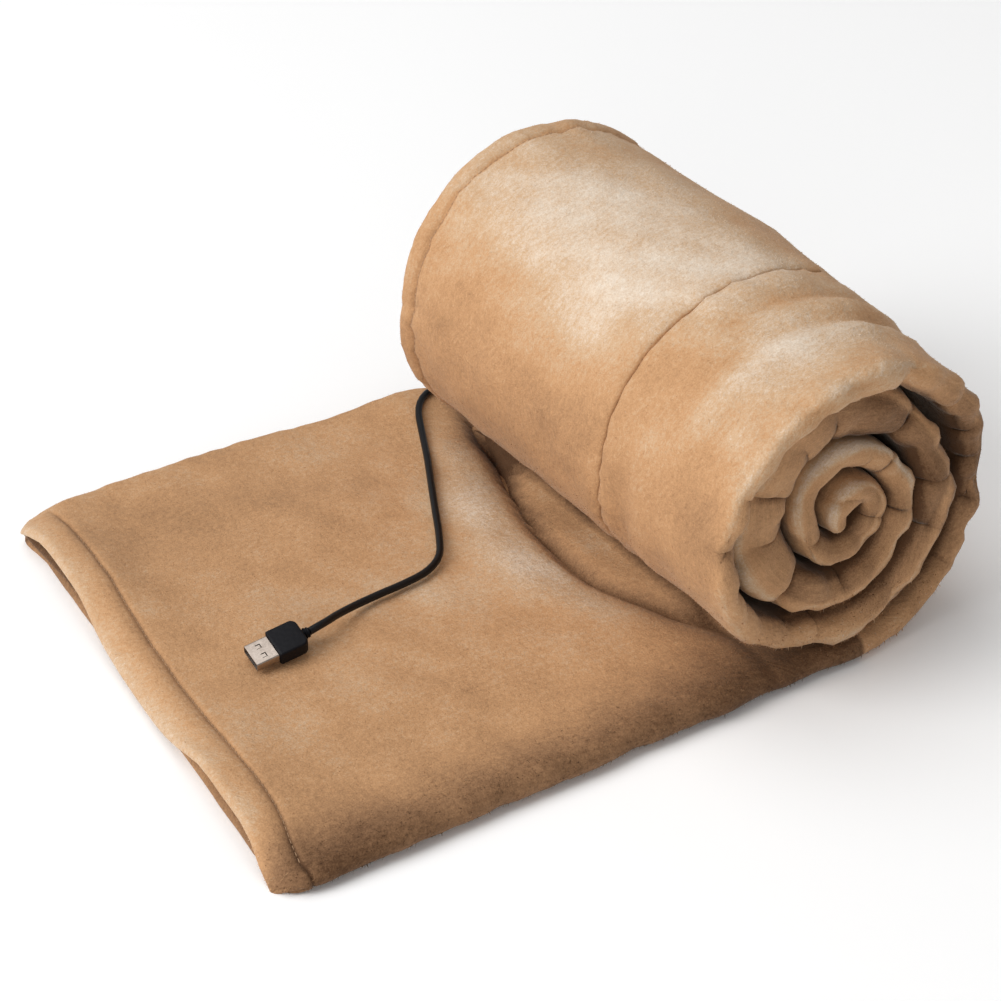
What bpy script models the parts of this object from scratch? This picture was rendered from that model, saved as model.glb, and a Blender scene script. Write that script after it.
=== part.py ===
"""Electric heated blanket: a plush throw folded lengthwise in three and rolled up from one end.

A flat tongue of the folded strip lies on the surface, the rest is wound into a loose roll on top of
it, and a thin power cord comes out of the far edge and crosses the tongue to a USB plug.
Metres, +Z up. +X runs along the strip from its free end to the roll, +Y along the roll's axis.
The origin is on the surface, under the middle of the blanket.
"""
import math

import bmesh
import bpy
from mathutils import Matrix, Vector

MM = 0.001
GAP = 0.0003             # clearance between touching pieces

# Driving dimensions of the cloth
PLY = 0.0032             # thickness of one ply of plush
PLY_PITCH = 0.0040       # from the middle of one ply to the middle of the next
HALF_STRIP = PLY_PITCH + PLY / 2
NIP_X = 0.277            # from the near corner of the free end to where the strip curls up
CORE_HEIGHT = 0.068      # height of the roll's core above the surface
END_SKEW = 0.053         # slant of the free end, metres along the strip for each metre of width
SKEW_FADE = 0.160        # distance from the free end in which the slant fades
FAR_GROWTH = 0.38        # the roll grows by this share for each metre towards its far end
NEAR_FOLD_REACH = 0.0078 # how far the near fold rounds in from the edge
FAR_FOLD_REACH = 0.0022
FOLD_FADE = 0.035        # how far from a full near fold the plies close up again
KEPT_OPEN = 0.5          # share of a full fold's extra height that the plies keep beyond it
INNER_HEM_INSET = 0.022  # the middle ply stops this far inside the near fold
END_HEM = 0.021          # from the free end to its hem's seam
SIDE_HEM = 0.011         # from the bottom ply's edge to its hem's seam
SEAM_Y = 0.083           # from the near edge to the seam that runs round the roll
SEAM_PUFF = 0.0009       # how proud the cloth stands beside a seam
REST_LIFT = 0.0012       # the top ply's loose height over the middle ply
PRESS_START = 0.220      # from here on the roll presses the tongue's plies together
PRESS_LENGTH = 0.028

# Where the model stands: what is subtracted from the strip's own coordinates
ORIGIN_X = 0.1760
ORIGIN_Y = 0.1370

# The roll, one row for each eighth of a turn, from where the strip leaves the surface to the core:
# turn in degrees, radius of the strip's middle, half height of the near fold, near edge, far edge (mm)
ROLL_TABLE = (
    (0, 62.3, 4.0, 0.0, 257.0),
    (45, 66.0, 4.6, 5.0, 250.0),
    (90, 62.5, 4.8, 7.0, 245.0),
    (135, 62.5, 5.5, 3.0, 238.0),
    (180, 72.7, 5.5, -5.0, 233.0),
    (225, 80.3, 5.0, -6.0, 232.0),
    (270, 75.6, 5.0, -4.0, 232.0),
    (315, 59.8, 5.0, 3.0, 233.0),
    (360, 47.0, 5.0, -1.0, 236.0),
    (405, 38.0, 5.5, -1.0, 238.0),
    (450, 36.5, 6.5, 0.0, 239.0),
    (495, 39.5, 5.5, 4.0, 240.0),
    (540, 48.0, 12.5, 9.0, 240.0),
    (585, 52.5, 15.0, 9.0, 241.0),
    (630, 48.5, 14.5, 8.0, 241.0),
    (675, 39.5, 8.0, 3.0, 242.0),
    (720, 30.0, 5.0, 4.0, 243.0),
    (765, 23.5, 4.5, 5.0, 243.0),
    (810, 21.5, 4.5, 5.0, 244.0),
    (855, 22.5, 4.5, 8.0, 244.0),
    (900, 26.0, 4.8, 12.0, 244.0),
    (945, 28.5, 5.5, 12.0, 244.0),
    (990, 25.0, 5.5, 10.0, 244.0),
    (1035, 21.0, 5.5, 8.0, 244.0),
    (1080, 13.8, 4.8, 8.0, 244.0),
    (1125, 9.3, 4.5, 7.0, 244.0),
    (1170, 8.4, 4.5, 7.0, 244.0),
    (1215, 8.8, 4.5, 8.0, 244.0),
    (1260, 9.3, 4.6, 8.0, 244.0),
    (1305, 9.8, 4.4, 8.0, 244.0),
    (1350, 9.4, 4.2, 8.0, 244.0),
    (1395, 6.8, 4.0, 8.0, 244.0),
)
ROLL_END = 1380          # degrees of turn at the strip's inner end
ROLL_STEP = 20           # degrees between two rows

# Far edge of the tongue: distance along the strip, far edge (mm)
TONGUE_EDGE = ((0, 280.0), (60, 279.5), (120, 279.0), (180, 274.5), (230, 265.0), (277, 257.0))

# Rows across the tongue (mm from the free end)
TONGUE_ROWS = (0, 4, 10, 16, 21, 26, 36, 52, 72, 92, 112, 132, 152, 172, 190, 207, 224, 241, 259)

# Soft swells of the tongue's top ply: x, y, spread in x, spread in y, height (mm)
TONGUE_SWELLS = (
    (13, 218, 16, 52, 5.5),
    (11, 52, 16, 36, 3.0),
    (218, 268, 34, 24, 6.5),
    (130, 278, 90, 22, 2.0),
    (214, 120, 14, 70, 2.6),
    (66, 140, 24, 13, 2.6),
    (120, 200, 45, 30, 1.5),
    (60, 60, 40, 30, 1.0),
    (165, 60, 40, 26, 1.2),
)

# Lumps of the whole strip on the roll: turn in degrees, y, spread in degrees, spread in y, height (mm)
ROLL_LUMPS = (
    (128, 12, 16, 16, 1.6),
    (145, 0, 45, 45, -3.2),
    (205, 16, 22, 14, -1.2),
    (250, 30, 30, 20, 0.8),
    (130, 135, 40, 60, 4.5),
    (205, 215, 28, 40, 3.0),
)

# Columns across every ply, as shares of the strip's width, and more on the bottom ply for its seams
PLY_COLUMNS = (0.18, 0.28, 0.42, 0.62, 0.82)
SEAM_SPREAD = 0.009      # from the long seam to the columns beside it
FAR_FOLD_COLUMNS = 3
NEAR_FOLD_COLUMNS = 5

# The cord and its strain relief
CORD_DIAMETER = 0.0034
CORD_STEP = 0.0075       # between two points of the cord's curve
RELIEF_X = 0.262         # where along the strip the cord leaves the hem
RELIEF_Y = 0.2613        # just outside the folded edge there
RELIEF_LENGTH = 0.015
RELIEF_WIDE = 0.0032     # radius at the hem
RELIEF_SLIM = 0.0023     # radius where the cord leaves

# The cord's route from the strain relief to the plug, in the strip's coordinates (mm)
CORD_ROUTE = (
    (262.0, 276.6, 3.2),
    (261.9, 281.4, 2.9),
    (258.8, 286.6, 2.2),
    (253.0, 287.8, 2.3),
    (248.3, 283.5, 4.6),
    (245.6, 276.5, 9.5),
    (243.0, 269.8, 14.8),
    (238.0, 264.0, 18.6),
    (231.0, 261.4, 20.4),
    (224.6, 261.0, 21.0),
    (218.4, 259.2, 20.8),
    (212.2, 255.2, 20.0),
    (206.6, 247.8, 18.6),
    (200.0, 233.5, 16.6),
    (191.5, 215.0, 15.6),
    (182.0, 196.0, 15.3),
    (172.5, 177.0, 15.3),
    (162.5, 157.0, 15.3),
    (154.0, 143.5, 15.3),
    (143.5, 136.6, 15.3),
    (131.0, 134.0, 15.4),
    (117.0, 132.4, 15.8),
    (104.0, 129.8, 16.8),
    (93.0, 125.8, 18.7),
    (86.0, 122.2, 20.3),
    (80.6, 120.5, 20.7),
    (76.1, 119.9, 20.25),
)

# The plug: a moulded grip and a metal shell, lying on the tongue
PLUG_X = 0.0659          # middle of the grip, in the strip's coordinates
PLUG_Y = 0.1200
PLUG_Z = 0.0190
PLUG_HEADING = 179.0     # degrees, the way the shell points
PLUG_PITCH = 7.0         # degrees, the shell's mouth lower than the neck
PLUG_ROLL = -14.0        # degrees, the far side higher, held up by the twist of the cord
GRIP_SIZE = (0.0138, 0.0145, 0.0072)
NECK_LENGTH = 0.0030
NECK_WIDTH = 0.0052
SHELL_SIZE = (0.0102, 0.0120, 0.0045)
SHELL_WALL = 0.0004
WINDOW = 0.0023          # side of the square windows in the shell
WINDOW_SPREAD = 0.0050   # between the two windows of one face
WINDOW_SETBACK = 0.0050  # from the shell's mouth to the windows' middle
TONGUE_SIZE = (0.0084, 0.0104, 0.0018)


def curve_value(table, column, at):
    """Value of a table's column at a place between its rows, on a smooth curve through them."""
    last = len(table) - 1
    row = 0
    while row < last - 1 and at > table[row + 1][0]:
        row += 1
    before, after = table[row], table[row + 1]
    first = table[max(row - 1, 0)]
    final = table[min(row + 2, last)]
    span = after[0] - before[0]
    part = min(max((at - before[0]) / span, 0.0), 1.0)
    slope_in = (after[column] - first[column]) / (after[0] - first[0]) * span
    slope_out = (final[column] - before[column]) / (final[0] - before[0]) * span
    square, cube = part ** 2, part ** 3
    return ((2 * cube - 3 * square + 1) * before[column] + (cube - 2 * square + part) * slope_in
            + (3 * square - 2 * cube) * after[column] + (cube - square) * slope_out)


def smooth(value):
    """Runs from 0 to 1 with soft ends."""
    value = min(max(value, 0.0), 1.0)
    return value * value * (3 - 2 * value)


def bell(distance, spread):
    """A soft bump: 1 at no distance, nearly 0 at twice the spread."""
    return math.exp(-(distance / spread) ** 2)


class Row:
    """One row of the strip: its place on the spine and the sizes of its section."""

    def __init__(self, x=None, turn=None):
        self.x = x
        self.turn = turn
        if turn is None:
            self.spine = Vector((x, HALF_STRIP))
            self.near = 0.0
            self.far = curve_value(TONGUE_EDGE, 1, x / MM) * MM
            self.puff = PLY_PITCH
        else:
            radius = curve_value(ROLL_TABLE, 1, turn) * MM
            angle = math.radians(turn - 90)
            self.spine = Vector((NIP_X + radius * math.cos(angle), CORE_HEIGHT + radius * math.sin(angle)))
            self.puff = curve_value(ROLL_TABLE, 2, turn) * MM
            self.near = curve_value(ROLL_TABLE, 3, turn) * MM
            self.far = curve_value(ROLL_TABLE, 4, turn) * MM


def strip_rows():
    """All rows from the free end to the core, each with the direction towards the roll's inside."""
    rows = [Row(x=x * MM) for x in TONGUE_ROWS]
    rows += [Row(turn=turn) for turn in range(0, ROLL_END + 1, ROLL_STEP)]
    for index, row in enumerate(rows):
        ahead = rows[min(index + 1, len(rows) - 1)].spine
        behind = rows[max(index - 1, 0)].spine
        along = (ahead - behind).normalized()
        row.normal = Vector((-along.y, along.x))
    return rows


def top_lift(row, y):
    """How far the top ply stands above its pressed place."""
    if row.turn is not None:
        return 0.0
    lift = REST_LIFT
    for x_mm, y_mm, spread_x, spread_y, height in TONGUE_SWELLS:
        lift += height * MM * bell(row.x / MM - x_mm, spread_x) * bell(y / MM - y_mm, spread_y)
    lift -= SEAM_PUFF * bell(row.x - END_HEM, 0.004)
    return lift * (1 - smooth((row.x - PRESS_START) / PRESS_LENGTH))


def lump(row, y):
    """Unevenness of the whole strip where it is wound."""
    if row.turn is None:
        return 0.0
    height = 0.0
    for turn, y_mm, spread_turn, spread_y, size in ROLL_LUMPS:
        height += size * MM * bell(row.turn - turn, spread_turn) * bell(y / MM - y_mm, spread_y)
    return -height


def seam_puff(row, y):
    """The bottom ply stands proud beside the long seam and along its hem."""
    if row.turn is None:
        return 0.0
    off_seam = abs(y - row.near - SEAM_Y)
    beside = bell(off_seam - 0.009, 0.006) * (1 - bell(off_seam, 0.004))
    hem = bell(y - row.far + SIDE_HEM / 2, SIDE_HEM / 3)
    return SEAM_PUFF * max(beside, hem) * smooth(row.turn / 60)


def fold(edge, inward, low, high, columns):
    """Points round a fold, from its lower ply to its upper one; inward is its reach from the edge."""
    points = []
    for step in range(1, columns + 1):
        angle = math.pi * (step / (columns + 1) - 0.5)
        y = edge + inward * (1 - math.cos(angle))
        points.append((y, (low + high) / 2 + (high - low) / 2 * math.sin(angle)))
    return points


def section(row):
    """The folded strip's middle line across its width: y and height over the spine."""
    inside = row.near + NEAR_FOLD_REACH
    outside = row.far - FAR_FOLD_REACH
    inner_hem = row.near + INNER_HEM_INSET

    def opening(y):
        closed = smooth((y - inside) / FOLD_FADE)
        return (row.puff - PLY_PITCH) * (1 - (1 - KEPT_OPEN) * closed)

    def top(y):
        return PLY_PITCH + opening(y) + top_lift(row, y)

    def middle(y):
        return 0.35 * top_lift(row, y)

    def bottom(y):
        return -PLY_PITCH - opening(y) - seam_puff(row, y)

    shared = [inner_hem] + [row.near + (row.far - row.near) * share for share in PLY_COLUMNS]
    seam = row.near + SEAM_Y
    seams = [seam - SEAM_SPREAD, seam, seam + SEAM_SPREAD, row.far - SIDE_HEM]

    points = [(y, middle(y)) for y in shared + [outside]]
    points += fold(row.far, -FAR_FOLD_REACH, middle(outside), top(outside), FAR_FOLD_COLUMNS)
    points += [(y, top(y)) for y in [outside] + shared[::-1] + [inside]]
    points += fold(row.near, NEAR_FOLD_REACH, top(inside), bottom(inside), NEAR_FOLD_COLUMNS)
    points += [(y, bottom(y)) for y in sorted([inside, row.far] + shared + seams)]
    return [(y, height + lump(row, y)) for y, height in points]


def strip_point(x, y, z):
    """A point given in the strip's coordinates, in the model's frame."""
    return Vector((x - ORIGIN_X, y - ORIGIN_Y, z))


def place(row, y, height):
    """A point of a row's section in the model's frame."""
    spine = row.spine
    if row.turn is None:
        skew = END_SKEW * y * (1 - smooth(row.x / SKEW_FADE))
    else:
        skew = 0.0
        root = Vector((NIP_X, HALF_STRIP))
        spine = root + (spine - root) * (1 + FAR_GROWTH * y)
    point = spine + row.normal * height
    return strip_point(point.x + skew, y, point.y)


def material(name, colour, roughness, metallic=0.0):
    made = bpy.data.materials.new(name)
    made.use_nodes = True
    shader = made.node_tree.nodes["Principled BSDF"]
    shader.inputs["Base Color"].default_value = (*colour, 1.0)
    shader.inputs["Roughness"].default_value = roughness
    shader.inputs["Metallic"].default_value = metallic
    return made


def add_object(name, data, collection, surface):
    obj = bpy.data.objects.new(name, data)
    data.materials.append(surface)
    collection.objects.link(obj)
    return obj


def make_blanket(collection):
    """One sheet, folded in three and rolled: a grid laid row by row on its folds, then thickened."""
    rows = strip_rows()
    sections = [section(row) for row in rows]
    across = len(sections[0]) - 1
    along = len(rows) - 1
    sheet = bmesh.new()
    bmesh.ops.create_grid(sheet, x_segments=across, y_segments=along, size=0.5)
    for vert in sheet.verts:
        column = round((vert.co.x + 0.5) * across)
        number = round((vert.co.y + 0.5) * along)
        y, height = sections[number][column]
        vert.co = place(rows[number], y, height)
    mesh = bpy.data.meshes.new("blanket")
    sheet.to_mesh(mesh)
    sheet.free()
    mesh.shade_smooth()
    obj = add_object("blanket", mesh, collection, material("camel plush", (0.56, 0.36, 0.19), 0.9))
    thicken = obj.modifiers.new("Ply", "SOLIDIFY")
    thicken.thickness = PLY
    thicken.offset = 0.0
    thicken.use_even_offset = True


def smooth_route(points, step):
    """Points about one step apart on a smooth curve through the given ones."""
    fine = []
    for index in range(len(points) - 1):
        before = points[max(index - 1, 0)]
        start, end = points[index], points[index + 1]
        after = points[min(index + 2, len(points) - 1)]
        for part in range(20):
            share = part / 20
            fine.append(0.5 * (2 * start + (end - before) * share
                               + (2 * before - 5 * start + 4 * end - after) * share ** 2
                               + (3 * start - before - 3 * end + after) * share ** 3))
    fine.append(points[-1])
    reach = [0.0]
    for index in range(1, len(fine)):
        reach.append(reach[-1] + (fine[index] - fine[index - 1]).length)
    count = round(reach[-1] / step)
    route = []
    index = 0
    for number in range(count + 1):
        wanted = reach[-1] * number / count
        while index < len(fine) - 2 and reach[index + 1] < wanted:
            index += 1
        share = (wanted - reach[index]) / (reach[index + 1] - reach[index])
        route.append(fine[index].lerp(fine[index + 1], share))
    return route


def make_cord(collection, surface):
    points = [strip_point(x * MM, y * MM, z * MM) for x, y, z in CORD_ROUTE]
    route = smooth_route(points, CORD_STEP)
    curve = bpy.data.curves.new("cord", "CURVE")
    curve.dimensions = "3D"
    curve.bevel_depth = CORD_DIAMETER / 2
    curve.bevel_resolution = 2
    curve.use_fill_caps = True
    spline = curve.splines.new("POLY")
    spline.points.add(len(route) - 1)
    for point, place_at in zip(spline.points, route):
        point.co = (*place_at, 1.0)
    add_object("cord", curve, collection, surface)


def make_relief(collection, surface):
    """The tapered strain relief at the hem, resting on the surface and pointing away from it."""
    body = bmesh.new()
    bmesh.ops.create_cone(body, cap_ends=True, segments=20, depth=RELIEF_LENGTH,
                          radius1=RELIEF_WIDE, radius2=RELIEF_SLIM)
    mesh = bpy.data.meshes.new("cord_relief")
    body.to_mesh(mesh)
    body.free()
    obj = add_object("cord_relief", mesh, collection, surface)
    obj.location = strip_point(RELIEF_X, RELIEF_Y + RELIEF_LENGTH / 2, RELIEF_WIDE)
    obj.rotation_euler = (math.radians(-90), 0, 0)


def plug_frame(collection):
    """The empty that carries the plug: +X the way it points, +Z its upper face."""
    frame = bpy.data.objects.new("plug frame", None)
    frame.location = strip_point(PLUG_X, PLUG_Y, PLUG_Z)
    frame.rotation_euler = [math.radians(turn) for turn in (PLUG_ROLL, PLUG_PITCH, PLUG_HEADING)]
    collection.objects.link(frame)
    return frame


def box_mesh(name, size, middle=(0, 0, 0)):
    body = bmesh.new()
    bmesh.ops.create_cube(body, size=1.0)
    bmesh.ops.scale(body, vec=size, verts=body.verts)
    bmesh.ops.translate(body, vec=middle, verts=body.verts)
    mesh = bpy.data.meshes.new(name)
    body.to_mesh(mesh)
    body.free()
    return mesh


def make_grip(collection, frame, surface):
    """The moulded grip: a flat block drawn out at its back into a short neck for the cord."""
    body = bmesh.new()
    bmesh.ops.create_cube(body, size=1.0)
    bmesh.ops.scale(body, vec=GRIP_SIZE, verts=body.verts)
    shoulders = [edge for edge in body.edges
                 if all(vert.co.x < 0 for vert in edge.verts)
                 and abs(edge.verts[0].co.z - edge.verts[1].co.z) > MM]
    bmesh.ops.bevel(body, geom=shoulders, offset=3 * MM, segments=3, profile=0.5, affect="EDGES")
    body.faces.ensure_lookup_table()
    back = min(body.faces, key=lambda face: face.calc_center_median().x)
    drawn = bmesh.ops.extrude_discrete_faces(body, faces=[back])["faces"][0]
    for vert in drawn.verts:
        vert.co = Vector((vert.co.x, math.copysign(NECK_WIDTH / 2, vert.co.y),
                          math.copysign(NECK_WIDTH / 2, vert.co.z)))
    neck = bmesh.ops.extrude_discrete_faces(body, faces=[drawn])["faces"][0]
    for vert in neck.verts:
        vert.co.x -= NECK_LENGTH
        vert.co.y *= 0.86
        vert.co.z *= 0.86
    mesh = bpy.data.meshes.new("usb_grip")
    body.to_mesh(mesh)
    body.free()
    obj = add_object("usb_grip", mesh, collection, surface)
    obj.parent = frame
    soften = obj.modifiers.new("Soft edges", "BEVEL")
    soften.width = 0.7 * MM
    soften.segments = 2
    soften.limit_method = "ANGLE"
    soften.angle_limit = math.radians(40)


def make_window_cutter(side, collection, frame):
    cutter = bpy.data.objects.new("window cutter", box_mesh("window", (WINDOW, WINDOW, 2 * SHELL_SIZE[2])))
    cutter.parent = frame
    cutter.location = (GRIP_SIZE[0] / 2 + GAP + SHELL_SIZE[0] - WINDOW_SETBACK, side * WINDOW_SPREAD / 2, 0)
    cutter.hide_render = True
    cutter.display_type = "WIRE"
    collection.objects.link(cutter)
    return cutter


def make_shell(collection, cutters, frame, surface):
    """The metal shell: a folded sheet tube, closed at the grip and open at its mouth."""
    body = bmesh.new()
    bmesh.ops.create_cube(body, size=1.0)
    bmesh.ops.scale(body, vec=SHELL_SIZE, verts=body.verts)
    long_edges = [edge for edge in body.edges if abs(edge.verts[0].co.x - edge.verts[1].co.x) > MM]
    bmesh.ops.bevel(body, geom=long_edges, offset=0.6 * MM, segments=2, profile=0.5, affect="EDGES")
    mouth = max(body.faces, key=lambda face: face.calc_center_median().x)
    bmesh.ops.delete(body, geom=[mouth], context="FACES")
    bmesh.ops.translate(body, vec=(GRIP_SIZE[0] / 2 + GAP + SHELL_SIZE[0] / 2, 0, 0), verts=body.verts)
    mesh = bpy.data.meshes.new("usb_shell")
    body.to_mesh(mesh)
    body.free()
    obj = add_object("usb_shell", mesh, collection, surface)
    obj.parent = frame
    thicken = obj.modifiers.new("Sheet", "SOLIDIFY")
    thicken.thickness = SHELL_WALL
    thicken.offset = -1.0
    thicken.use_even_offset = True
    for side in (-1, 1):
        cut = obj.modifiers.new("Window", "BOOLEAN")
        cut.operation = "DIFFERENCE"
        cut.object = make_window_cutter(side, cutters, frame)


def make_contact_tongue(collection, frame, surface):
    """The insulating tongue in the shell, on its lower side and a gap clear of it."""
    back = GRIP_SIZE[0] / 2 + GAP + SHELL_WALL + GAP
    low = -SHELL_SIZE[2] / 2 + SHELL_WALL + GAP
    middle = (back + TONGUE_SIZE[0] / 2, 0, low + TONGUE_SIZE[2] / 2)
    obj = add_object("usb_tongue", box_mesh("usb_tongue", TONGUE_SIZE, middle), collection, surface)
    obj.parent = frame


def clear_scene():
    for obj in list(bpy.data.objects):
        bpy.data.objects.remove(obj, do_unlink=True)


def new_collection(name):
    collection = bpy.data.collections.new(name)
    bpy.context.scene.collection.children.link(collection)
    return collection


def main():
    clear_scene()
    parts = new_collection("heated blanket")
    cutters = new_collection("cutters")
    black = material("black moulding", (0.012, 0.012, 0.013), 0.5)
    make_blanket(parts)
    make_relief(parts, black)
    make_cord(parts, material("black cord", (0.012, 0.012, 0.013), 0.45))
    frame = plug_frame(parts)
    make_grip(parts, frame, black)
    make_shell(parts, cutters, frame, material("plated steel", (0.62, 0.58, 0.53), 0.3, 1.0))
    make_contact_tongue(parts, frame, material("dark insulator", (0.02, 0.02, 0.022), 0.6))


main()
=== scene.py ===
"""Looks of the electric heated blanket: a plush throw folded lengthwise in three and rolled up on its
flat end, with a thin power cord and its plug lying on it.

Metres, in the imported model's frame. The cloth follows the same folds as its solid: x runs along the
folded strip from the near corner of its free end, y from its near edge to its far edge, and the turn
counts degrees round the roll from where the strip leaves the surface.
"""
import math

import bmesh
import bpy
import numpy as np
from mathutils import Euler, Matrix, Vector
from mathutils.bvhtree import BVHTree


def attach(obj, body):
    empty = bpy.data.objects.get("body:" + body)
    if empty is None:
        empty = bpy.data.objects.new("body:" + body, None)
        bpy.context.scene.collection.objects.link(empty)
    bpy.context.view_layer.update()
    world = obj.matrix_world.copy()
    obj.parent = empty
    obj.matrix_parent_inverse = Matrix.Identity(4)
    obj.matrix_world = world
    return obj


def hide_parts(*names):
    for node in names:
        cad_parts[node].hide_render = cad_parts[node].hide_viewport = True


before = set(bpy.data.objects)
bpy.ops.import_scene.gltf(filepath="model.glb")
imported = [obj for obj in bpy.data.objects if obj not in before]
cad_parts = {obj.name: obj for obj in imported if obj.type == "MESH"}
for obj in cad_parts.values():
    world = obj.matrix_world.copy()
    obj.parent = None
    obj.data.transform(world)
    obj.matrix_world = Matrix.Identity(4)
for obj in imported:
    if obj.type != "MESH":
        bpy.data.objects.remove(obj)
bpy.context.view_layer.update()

MM = 0.001

# ---------------------------------------------------------------- the photograph's camera
CAMERA_PLACE = (-0.4512, -0.7104, 0.5960)
CAMERA_ELEVATION = 33.42      # degrees, looking down
CAMERA_AZIMUTH = -32.78       # degrees from +Y
CAMERA_LENS = 82.76           # mm
CAMERA_SENSOR = 36.0

# Round area lights: name, place, aim, size (m), power (W)
LIGHTS = (
    ("key", (-3.7, 0.7, 2.5), (0.0, 0.02, 0.05), 3.0, 142.0),
    ("front", (-2.6, -3.0, 1.3), (0.0, 0.0, 0.05), 2.0, 26.0),
    ("overhead", (-0.6, 1.2, 4.0), (0.0, 0.0, 0.05), 4.0, 64.0),
)
WORLD_STRENGTH = 0.36
FLOOR_SIZE = 14

# ---------------------------------------------------------------- the folded and rolled cloth
PLY = 0.0032                  # thickness of one ply of plush
PLY_PITCH = 0.0040            # from the middle of one ply to the middle of the next
HALF_STRIP = PLY_PITCH + PLY / 2
NIP_X = 0.277                 # where the strip curls up off the surface
CORE_HEIGHT = 0.068           # height of the roll's core above the surface
END_SKEW = 0.053              # slant of the free end for each metre of width
SKEW_FADE = 0.160
FAR_GROWTH = 0.38             # the roll grows by this share for each metre towards its far end
NEAR_FOLD_REACH = 0.0078      # how far the near fold rounds in from the edge
PUFFED_REACH = 0.75           # the same for a puffed fold, as a share of its half height
FAR_FOLD_REACH = 0.0022
FOLD_FADE = 0.035
KEPT_OPEN = 0.5               # share of the fold's opening that the plies keep away from it
MIDDLE_LIFTS = 0.35           # share of the top ply's lift that the middle one follows
INNER_HEM_INSET = 0.022
SEAM_Y = 0.083                # from the near edge to the seam that runs round the roll
REST_LIFT = 0.0012
PRESS_START = 0.220
PRESS_LENGTH = 0.028
ORIGIN = (0.1760, 0.1370)     # the model's origin in the strip's own coordinates

# The roll: turn in degrees, radius of the strip's middle, half height of the near fold, near edge,
# far edge (mm)
ROLL_TABLE = (
    (0, 62.3, 4.0, 0.0, 257.0),
    (45, 66.0, 4.6, 5.0, 250.0),
    (90, 62.5, 4.8, 7.0, 245.0),
    (135, 62.5, 5.5, 3.0, 238.0),
    (180, 72.7, 5.5, -5.0, 233.0),
    (225, 80.3, 5.0, -6.0, 232.0),
    (270, 75.6, 5.0, -4.0, 232.0),
    (315, 59.8, 5.0, 3.0, 233.0),
    (360, 47.0, 5.0, -1.0, 236.0),
    (405, 38.0, 5.5, -1.0, 238.0),
    (450, 36.5, 6.5, 0.0, 239.0),
    (495, 39.5, 5.5, 4.0, 240.0),
    (540, 48.0, 12.5, 9.0, 240.0),
    (585, 52.5, 15.0, 9.0, 241.0),
    (630, 48.5, 14.5, 8.0, 241.0),
    (675, 39.5, 8.0, 3.0, 242.0),
    (720, 30.0, 5.0, 4.0, 243.0),
    (765, 23.5, 4.5, 5.0, 243.0),
    (810, 21.5, 4.5, 5.0, 244.0),
    (855, 22.5, 4.5, 8.0, 244.0),
    (900, 26.0, 4.8, 12.0, 244.0),
    (945, 28.5, 5.5, 12.0, 244.0),
    (990, 25.0, 5.5, 10.0, 244.0),
    (1035, 21.0, 5.5, 8.0, 244.0),
    (1080, 13.8, 4.8, 8.0, 244.0),
    (1125, 9.3, 4.5, 7.0, 244.0),
    (1170, 8.4, 4.5, 7.0, 244.0),
    (1215, 8.8, 4.5, 8.0, 244.0),
    (1260, 9.3, 4.6, 8.0, 244.0),
    (1305, 9.8, 4.4, 8.0, 244.0),
    (1350, 9.4, 4.2, 8.0, 244.0),
    (1395, 6.8, 4.0, 8.0, 244.0),
)
ROLL_END = 1380.0

# Far edge of the tongue: distance along the strip, far edge (mm)
TONGUE_EDGE = ((0, 280.0), (60, 279.5), (120, 279.0), (180, 274.5), (230, 265.0), (277, 257.0))

# Soft swells of the tongue's top ply: x, y, spread in x, spread in y, height (mm)
TONGUE_SWELLS = (
    (13, 218, 16, 52, 5.5),
    (11, 52, 16, 36, 3.0),
    (218, 268, 34, 24, 6.5),
    (130, 278, 90, 22, 2.0),
    (214, 120, 14, 70, 2.6),
    (66, 140, 24, 13, 2.6),
    (120, 200, 45, 30, 1.5),
    (60, 60, 40, 30, 1.0),
    (165, 60, 40, 26, 1.2),
)

# Lumps of the whole strip on the roll: turn in degrees, y, spread in degrees, spread in y, height (mm)
ROLL_LUMPS = (
    (128, 12, 16, 16, 1.6),
    (145, 0, 45, 45, -3.2),
    (205, 16, 22, 14, -1.2),
    (250, 30, 30, 20, 0.8),
    (130, 135, 40, 60, 4.5),
    (205, 215, 28, 40, 3.0),
)

# ---------------------------------------------------------------- folds that only show here
# Places where the near fold is drawn in: turn, spread in degrees, how far (mm)
PINCHES = (
    (135, 5, 1.2),
    (170, 6, 3.0),
    (240, 5, 1.6),
    (258, 5, 2.4),
    (427, 6, 1.2),
    (462, 6, 1.6),
    (511, 6, 3.0),
    (556, 7, 1.8),
    (577, 7, 1.4),
    (628, 8, 2.2),
    (660, 7, 2.0),
    (850, 10, 2.2),
    (960, 14, 1.0),
)
PINCH_REACH = 0.030           # how far from the fold a pinch fades out
PINCH_THINS = 45.0            # share of the puff lost for each metre drawn in

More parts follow.
